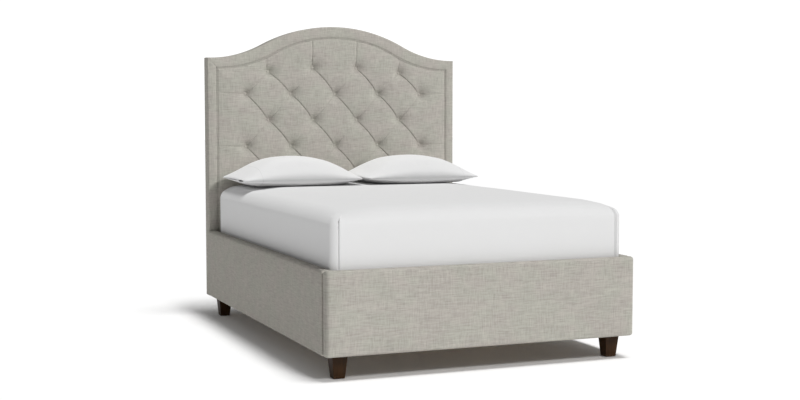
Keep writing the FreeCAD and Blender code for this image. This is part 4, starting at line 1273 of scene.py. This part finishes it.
@dataclass
class Pillow:
    """A fibre pillow in an open-ended cotton case, made as a flat bag and then blown up as cloth."""

    side: str
    low: Point
    high: Point
    seed: int
    seam_height: float = 0.752
    bag: tuple[float, float] = (0.66, 0.50)
    cells: tuple[int, int] = (88, 66)
    frames: int = 20
    cap: float = 16 * MM
    cloth: float = 1.1 * MM

    def bag_mesh(self) -> tuple[Array, list[tuple[int, ...]], Array]:
        """The closed flat bag.

        Returns:
            Its points, its faces, and the numbers of the lower layer's points as a grid.
        """
        nu, nv = self.cells
        u, v = np.meshgrid(np.linspace(-1, 1, nu), np.linspace(-1, 1, nv), indexing="ij")
        ease = 1 - 0.045 * abs(u) ** 7 * abs(v) ** 7
        pull = (1 - 0.012 * (1 - v ** 2)) * ease
        pinch = (1 - 0.012 * (1 - u ** 2)) * ease
        x = u * self.bag[0] / 2 * pull
        y = v * self.bag[1] / 2 * pinch
        lens = 0.034 * np.maximum(1 - abs(u) ** 2.4, 0) ** 0.6 * np.maximum(1 - abs(v) ** 2.4, 0) ** 0.6
        upper = np.stack([x, y, lens], 2).reshape(-1, 3)
        number = np.arange(nu * nv).reshape(nu, nv)
        lower = number.copy()
        points = list(upper)
        for i in range(1, nu - 1):
            for j in range(1, nv - 1):
                lower[i, j] = len(points)
                points.append(upper[number[i, j]] * (1, 1, -0.8))
        faces = []
        for i in range(nu - 1):
            for j in range(nv - 1):
                faces.append((number[i, j], number[i + 1, j], number[i + 1, j + 1], number[i, j + 1]))
                faces.append((lower[i, j], lower[i, j + 1], lower[i + 1, j + 1], lower[i + 1, j]))
        return np.array(points), [tuple(int(k) for k in f) for f in faces], lower

    def dome(self, points: Array) -> Array:
        """The bag's points, filled to a plain plump shape."""
        u = np.clip(points[:, 0] / (self.bag[0] / 2), -1, 1)
        v = np.clip(points[:, 1] / (self.bag[1] / 2), -1, 1)
        rise = np.maximum(1 - abs(u) ** 2.1, 0) ** 0.88 * np.maximum(1 - abs(v) ** 2.8, 0) ** 0.6
        result = points.copy()
        result[:, 2] = np.sign(points[:, 2]) * rise * 0.085
        return result

    def blown(self, points: Array, faces: list[tuple[int, ...]]) -> Array:
        """Blows the filled bag up with a cloth simulation under pressure, and caps how far it moves.

        Args:
            points: the bag's points.
            faces: its faces.

        Returns:
            The points after the last frame.
        """
        piece = make_piece(f"pillow_{self.side}_bag", points, faces)
        cloth = piece.modifiers.new("cloth", "CLOTH")
        settings = cloth.settings
        settings.quality = 6
        settings.mass = 0.3
        settings.tension_stiffness = 12
        settings.compression_stiffness = 6
        settings.shear_stiffness = 3
        settings.bending_stiffness = 4.0
        settings.use_pressure = True
        settings.uniform_pressure_force = 4.0
        settings.effector_weights.gravity = 0.0
        cloth.point_cache.frame_start = 1
        cloth.point_cache.frame_end = self.frames
        scene = bpy.context.scene
        for frame_number in range(1, self.frames + 1):
            scene.frame_set(frame_number)
        apply_modifiers(piece)
        move = points_of(piece) - points
        bpy.data.objects.remove(piece)
        scene.frame_set(1)
        far = np.linalg.norm(move, axis=1)[:, None]
        rim = np.maximum(abs(points[:, 0]) / (self.bag[0] / 2), abs(points[:, 1]) / (self.bag[1] / 2))
        free = 1 - smooth(rim, 0.40, 0.98)
        return points + move * free[:, None] * np.minimum(1.0, self.cap / np.maximum(far, 1e-9))

    def placed(self, points: Array) -> Array:
        """Fits the blown bag between its corners and rests it on the bed.

        Args:
            points: the blown bag's points about its own middle.

        Returns:
            The points in the row frame.
        """
        low, high = np.array(self.low), np.array(self.high)
        result = points.copy()
        for axis in (0, 1):
            least, most = points[:, axis].min(), points[:, axis].max()
            share = (points[:, axis] - least) / (most - least)
            result[:, axis] = low[axis] + share * (high[axis] - low[axis])
        height = points[:, 2]
        above = self.seam_height + height / height.max() * (high[2] - self.seam_height)
        below = self.seam_height + height / -height.min() * (self.seam_height - low[2]) * 2.1
        z = np.where(height >= 0, above, below)
        soft = 4 * MM
        lift = np.maximum(z - low[2], 0.0)
        rest = soft * np.exp(np.minimum((z - low[2]) / soft - 2, 0)) * 2.0
        result[:, 2] = low[2] + np.where(z - low[2] > soft * 2, lift, rest)
        uneven = ripple(result, 0.24, self.seed) * 1.6 * MM
        result[:, 2] += uneven * smooth(result[:, 2], low[2] + 0.03, low[2] + 0.08)
        return result

    def case_mesh(self, points: Array, lower: Array) -> bpy.types.Object:
        """The pillowcase: the bag's skin, open at its outer end with the two lips a little apart."""
        nu, nv = self.cells
        top = np.arange(nu * nv).reshape(nu, nv)
        low_layer = lower.copy()
        end = 0 if self.side == "left" else nu - 1
        made = list(points)
        for j in range(1, nv - 1):
            share = math.sin(math.pi * j / (nv - 1)) ** 1.5
            curl = math.exp(-((j / (nv - 1) - 0.16) / 0.07) ** 2)
            gap = 3.5 * MM * share * (1 + 0.25 * math.sin(j * 0.55)) + 9 * MM * curl
            base = points[top[end, j]]
            low_layer[end, j] = len(made)
            made.append(base + (0, 0, -gap * 0.7))
            made[top[end, j]] = base + (0, 0, gap * 0.5)
        faces = []
        for i in range(nu - 1):
            for j in range(nv - 1):
                faces.append((top[i, j], top[i + 1, j], top[i + 1, j + 1], top[i, j + 1]))
                near, far = low_layer[i], low_layer[i + 1]
                faces.append((near[j], near[j + 1], far[j + 1], far[j]))
        faces = [tuple(int(k) for k in f) for f in faces]
        piece = make_piece(f"pillowcase_{self.side}_cotton", np.array(made), faces)
        thicken(piece, self.cloth, -1.0)
        return piece

    def build(self, fill: Finish, cotton: Finish) -> None:
        points, faces, lower = self.bag_mesh()
        filled = self.dome(points)
        shape = self.placed(self.blown(filled, faces))
        case = self.case_mesh(shape, lower)
        body = f"pillow_{self.side}_body"
        settle(case, body, "pillowcase_cotton", cotton, f"pillowcase_{self.side}")
        centre = (shape.min(0) + shape.max(0)) / 2
        shift = 12 * MM if self.side == "left" else -12 * MM
        inner = centre + (shape - centre) * (0.94, 0.975, 0.93) + (shift, 0, 0)
        piece = make_piece(f"pillow_{self.side}_fill", inner, faces)
        settle(piece, body, "pillow_fill", fill, f"pillow_{self.side}")


# ---------------------------------------------------------------- carried-over parts


@dataclass
class Carpentry:
    """The timber, metal and plastic parts that keep their own shapes and get their finishes."""

    lumber_x: Finish
    lumber_y: Finish
    lumber_z: Finish
    slats: Finish
    plywood: Finish
    legs: Finish
    zinc: Finish
    black: Finish
    plastic: Finish
    felt: Finish
    twine: Finish

    def finish_of(self, node: str) -> Finish:
        """The finish of one node, by its name."""
        if node.startswith("slat_") and "ledger" not in node:
            return self.slats
        table = (
            ("headboard_panel", self.plywood), ("headboard_post", self.lumber_z),
            ("headboard_crossrail", self.lumber_x), ("footboard_board", self.lumber_x),
            ("rail_board", self.lumber_y), ("slat_ledger", self.lumber_y), ("centre_beam", self.lumber_y),
            ("centre_leg", self.lumber_z), ("corner_blocks", self.lumber_z),
            ("leg_hanger_bolts", self.zinc), ("leg_glides", self.felt), ("leg_", self.legs),
            ("beam_hanger", self.black), ("corner_brackets", self.black), ("leveller_pad", self.plastic),
            ("tuft_ties", self.twine),
        )
        for start, finish in table:
            if node.startswith(start):
                return finish
        return self.zinc

    def dress(self) -> None:
        """Gives every node that is still shown its finish."""
        for name, node in sorted(frame["nodes"].items()):
            if node.hide_render:
                continue
            self.finish_of(name).dress(node)
            log.info("%s: %s", name, self.finish_of(name).name)


# ---------------------------------------------------------------- studio


class Group(Enum):
    """The groups of pieces that lamps are kept to."""

    ALL = ("",)
    FLOOR = ("studio_floor",)
    BEDDING = ("bed_sheet", "pillow")
    LOWER = ("footboard", "rail_padded", "leg_", "bed_sheet")
    FRAME = ()

    def holds(self, name: str) -> bool:
        """Whether a piece of this name is in the group; the frame is what no other group has."""
        if self is Group.FRAME:
            return not name.startswith(Group.FLOOR.value + Group.BEDDING.value)
        return name.startswith(self.value)


@dataclass(frozen=True)
class Lamp:
    """A broad, far soft light: the way towards it, its strength as a share of white, its width in degrees."""

    name: str
    towards: Point
    irradiance: float
    width: float
    lights: Group
    shaded_by: Group = Group.ALL


@dataclass
class Studio:
    """Pale floor, white surroundings, soft light from above and from the front right, and the camera."""

    place: Point = (-2.4576, -6.0603, 1.1253)
    tilt: float = 86.004
    turn: float = -22.153
    lens: float = 59.11
    around: float = 0.23
    seen: float = 1.1
    floor_reach: float = 40.0
    floor_glow: float = 0.02

    def floor(self) -> None:
        """A wide pale floor."""
        size = self.floor_reach
        points = np.array([(-size, -size, 0), (size, -size, 0), (size, size, 0), (-size, size, 0)])
        piece = make_piece("studio_floor", points, [(0, 1, 2, 3)])
        b = Board("studio_floor", roughness=0.9, specular=0.1)
        b.plug(b.shader.inputs["Emission Color"], WHITE)
        b.shader.inputs["Emission Strength"].default_value = self.floor_glow
        cloud = b.noise((0.8, 0.8, 0.8), 2.0)
        b.tint(b.blend(cloud, (0.96, 0.96, 0.96), (0.98, 0.98, 0.98)))
        piece.data.materials.append(b.material)

    def surroundings(self) -> None:
        """White surroundings that light the scene more gently than they look."""
        world = bpy.data.worlds.new("studio")
        bpy.context.scene.world = world
        world.use_nodes = True
        world.node_tree.nodes.clear()
        tree = Tree(world.node_tree)
        seen, lit = (tree.colour("ShaderNodeBackground", {}, {"Color": WHITE, "Strength": strength})
                     for strength in (self.seen, self.around))
        path = tree.number("ShaderNodeLightPath", {}, {}, "Is Camera Ray")
        mixed = tree.colour("ShaderNodeMixShader", {}, {0: path, 1: lit, 2: seen})
        tree.add("ShaderNodeOutputWorld", {}, {0: mixed})

    def pieces(self, group: Group) -> bpy.types.Collection:
        """The pieces of one group, for a lamp to light or to be shaded by."""
        found = bpy.data.collections.get(group.name) or bpy.data.collections.new(group.name)
        for piece in bpy.context.scene.objects:
            if piece.type == "MESH" and piece.name not in found.objects and group.holds(piece.name):
                found.objects.link(piece)
        return found

    def hang(self, lamp: Lamp) -> None:
        """Hangs one lamp, with its light kept to its own group as flags on stands would."""
        data = bpy.data.lights.new(lamp.name, "SUN")
        data.energy = lamp.irradiance * math.pi
        data.angle = math.radians(lamp.width)
        made = bpy.data.objects.new(lamp.name, data)
        bpy.context.scene.collection.objects.link(made)
        x, y, z = lamp.towards
        made.rotation_euler = (math.atan2(math.hypot(x, y), z), 0.0, math.atan2(x, -y))
        made.location = tuple(4 * c for c in lamp.towards)
        made.light_linking.receiver_collection = self.pieces(lamp.lights)
        if lamp.shaded_by is not Group.ALL:
            made.light_linking.blocker_collection = self.pieces(lamp.shaded_by)

    def camera(self) -> None:
        """The camera in front of the bed's left foot corner."""
        data = bpy.data.cameras.new("camera")
        data.lens = self.lens
        data.clip_end = 200.0
        camera = bpy.data.objects.new("camera", data)
        bpy.context.scene.collection.objects.link(camera)
        camera.location = self.place
        camera.rotation_euler = (math.radians(self.tilt), 0.0, math.radians(self.turn))
        bpy.context.scene.camera = camera

    def build(self) -> None:
        """Builds the whole studio."""
        self.floor()
        self.surroundings()
        lamps = (
            Lamp("floor_top_light", (0.16, -0.14, 1.0), 0.60, 18.0, Group.FLOOR),
            Lamp("floor_front_light", (0.22, -1.0, 1.1), 0.32, 12.0, Group.FLOOR, Group.LOWER),
            Lamp("bedding_top_light", (0.10, -0.12, 1.0), 0.77, 20.0, Group.BEDDING),
            Lamp("bedding_front_light", (0.10, -1.0, -0.60), 0.37, 30.0, Group.BEDDING, Group.BEDDING),
            Lamp("frame_top_light", (0.30, -0.12, 1.0), 0.30, 16.0, Group.FRAME),
            Lamp("frame_front_light", (0.75, -1.0, 0.85), 0.74, 14.0, Group.FRAME),
        )
        for lamp in lamps:
            self.hang(lamp)
        self.camera()
        bpy.context.scene.view_settings.view_transform = "Standard"


# ---------------------------------------------------------------- everything


def main() -> None:
    """Builds the bed's pieces in order, dresses them, and sets up the studio."""
    logging.basicConfig(level=logging.INFO, format="%(message)s")
    linen = Linen("slubbed_linen", (0.392, 0.375, 0.342))
    cord = Linen("slubbed_linen_bias", (0.375, 0.358, 0.328))
    sheet_cotton = Cotton("white_percale", (0.76, 0.76, 0.76))
    ticking = Ticking("striped_ticking", (0.72, 0.71, 0.68))
    tape = Cotton("binding_tape", (0.42, 0.44, 0.47))
    fill = Cotton("pillow_lining", (0.74, 0.74, 0.72))
    Headboard().build(linen, cord)
    boards = (
        PaddedBoard("rail_padded_left", (-0.7365, -0.9750, 0.102), (-0.688, 0.9465, 0.460), "rail_cover_left",
                    (-1, 0, 0), 3, (5 * MM, 3 * MM)),
        PaddedBoard("rail_padded_right", (0.688, -0.9750, 0.102), (0.7365, 0.9465, 0.460), "rail_cover_right",
                    (1, 0, 0), 4, (5 * MM, 3 * MM)),
        PaddedBoard("footboard_padded", (-0.7330, -1.022, 0.102), (0.7330, -0.9775, 0.460), "footboard_cover",
                    (0, -1, 0), 5, (19 * MM, 12 * MM)),
    )
    for board in boards:
        board.build(linen)
    Bedding().build(ticking, sheet_cotton, tape)
    pillows = (
        Pillow("left", (-0.668, 0.432, 0.7205), (-0.012, 0.922, 0.870), 51),
        Pillow("right", (0.010, 0.432, 0.7205), (0.662, 0.922, 0.868), 52),
    )
    for pillow, hem in zip(pillows, (-0.570, 0.565)):
        pillow.build(fill, Cotton(f"white_percale_case_{pillow.side}", (0.83, 0.83, 0.83), hem=hem))
    Carpentry(
        lumber_x=Timber("planed_lumber_across", (0.56, 0.40, 0.24), run=0),
        lumber_y=Timber("planed_lumber_along", (0.56, 0.40, 0.24), run=1),
        lumber_z=Timber("planed_lumber_upright", (0.56, 0.40, 0.24), run=2),
        slats=Timber("clear_pine", (0.66, 0.49, 0.30), run=0, contrast=0.22, ring=16 * MM, sheen_rough=0.5),
        plywood=Timber("birch_plywood", (0.62, 0.46, 0.29), run=2, contrast=0.15, ring=28 * MM, layers=True),
        legs=Espresso("espresso_lacquer", (0.030, 0.0128, 0.0034)),
        zinc=Metal("zinc_plate", (0.62, 0.62, 0.60)),
        black=Metal("black_powder_coat", (0.025, 0.025, 0.027), metallic=0.0, rough=0.5, bump=0.15 * MM),
        plastic=Metal("black_moulding", (0.03, 0.03, 0.03), metallic=0.0, rough=0.45, grain=1500,
                      bump=0.1 * MM),
        felt=Fibre("pressed_felt", (0.10, 0.085, 0.07)),
        twine=Fibre("twine_and_card", (0.55, 0.48, 0.34), (900, 900, 250), 0.3 * MM),
    ).dress()
    Studio().build()


if __name__ == "__main__":
    main()
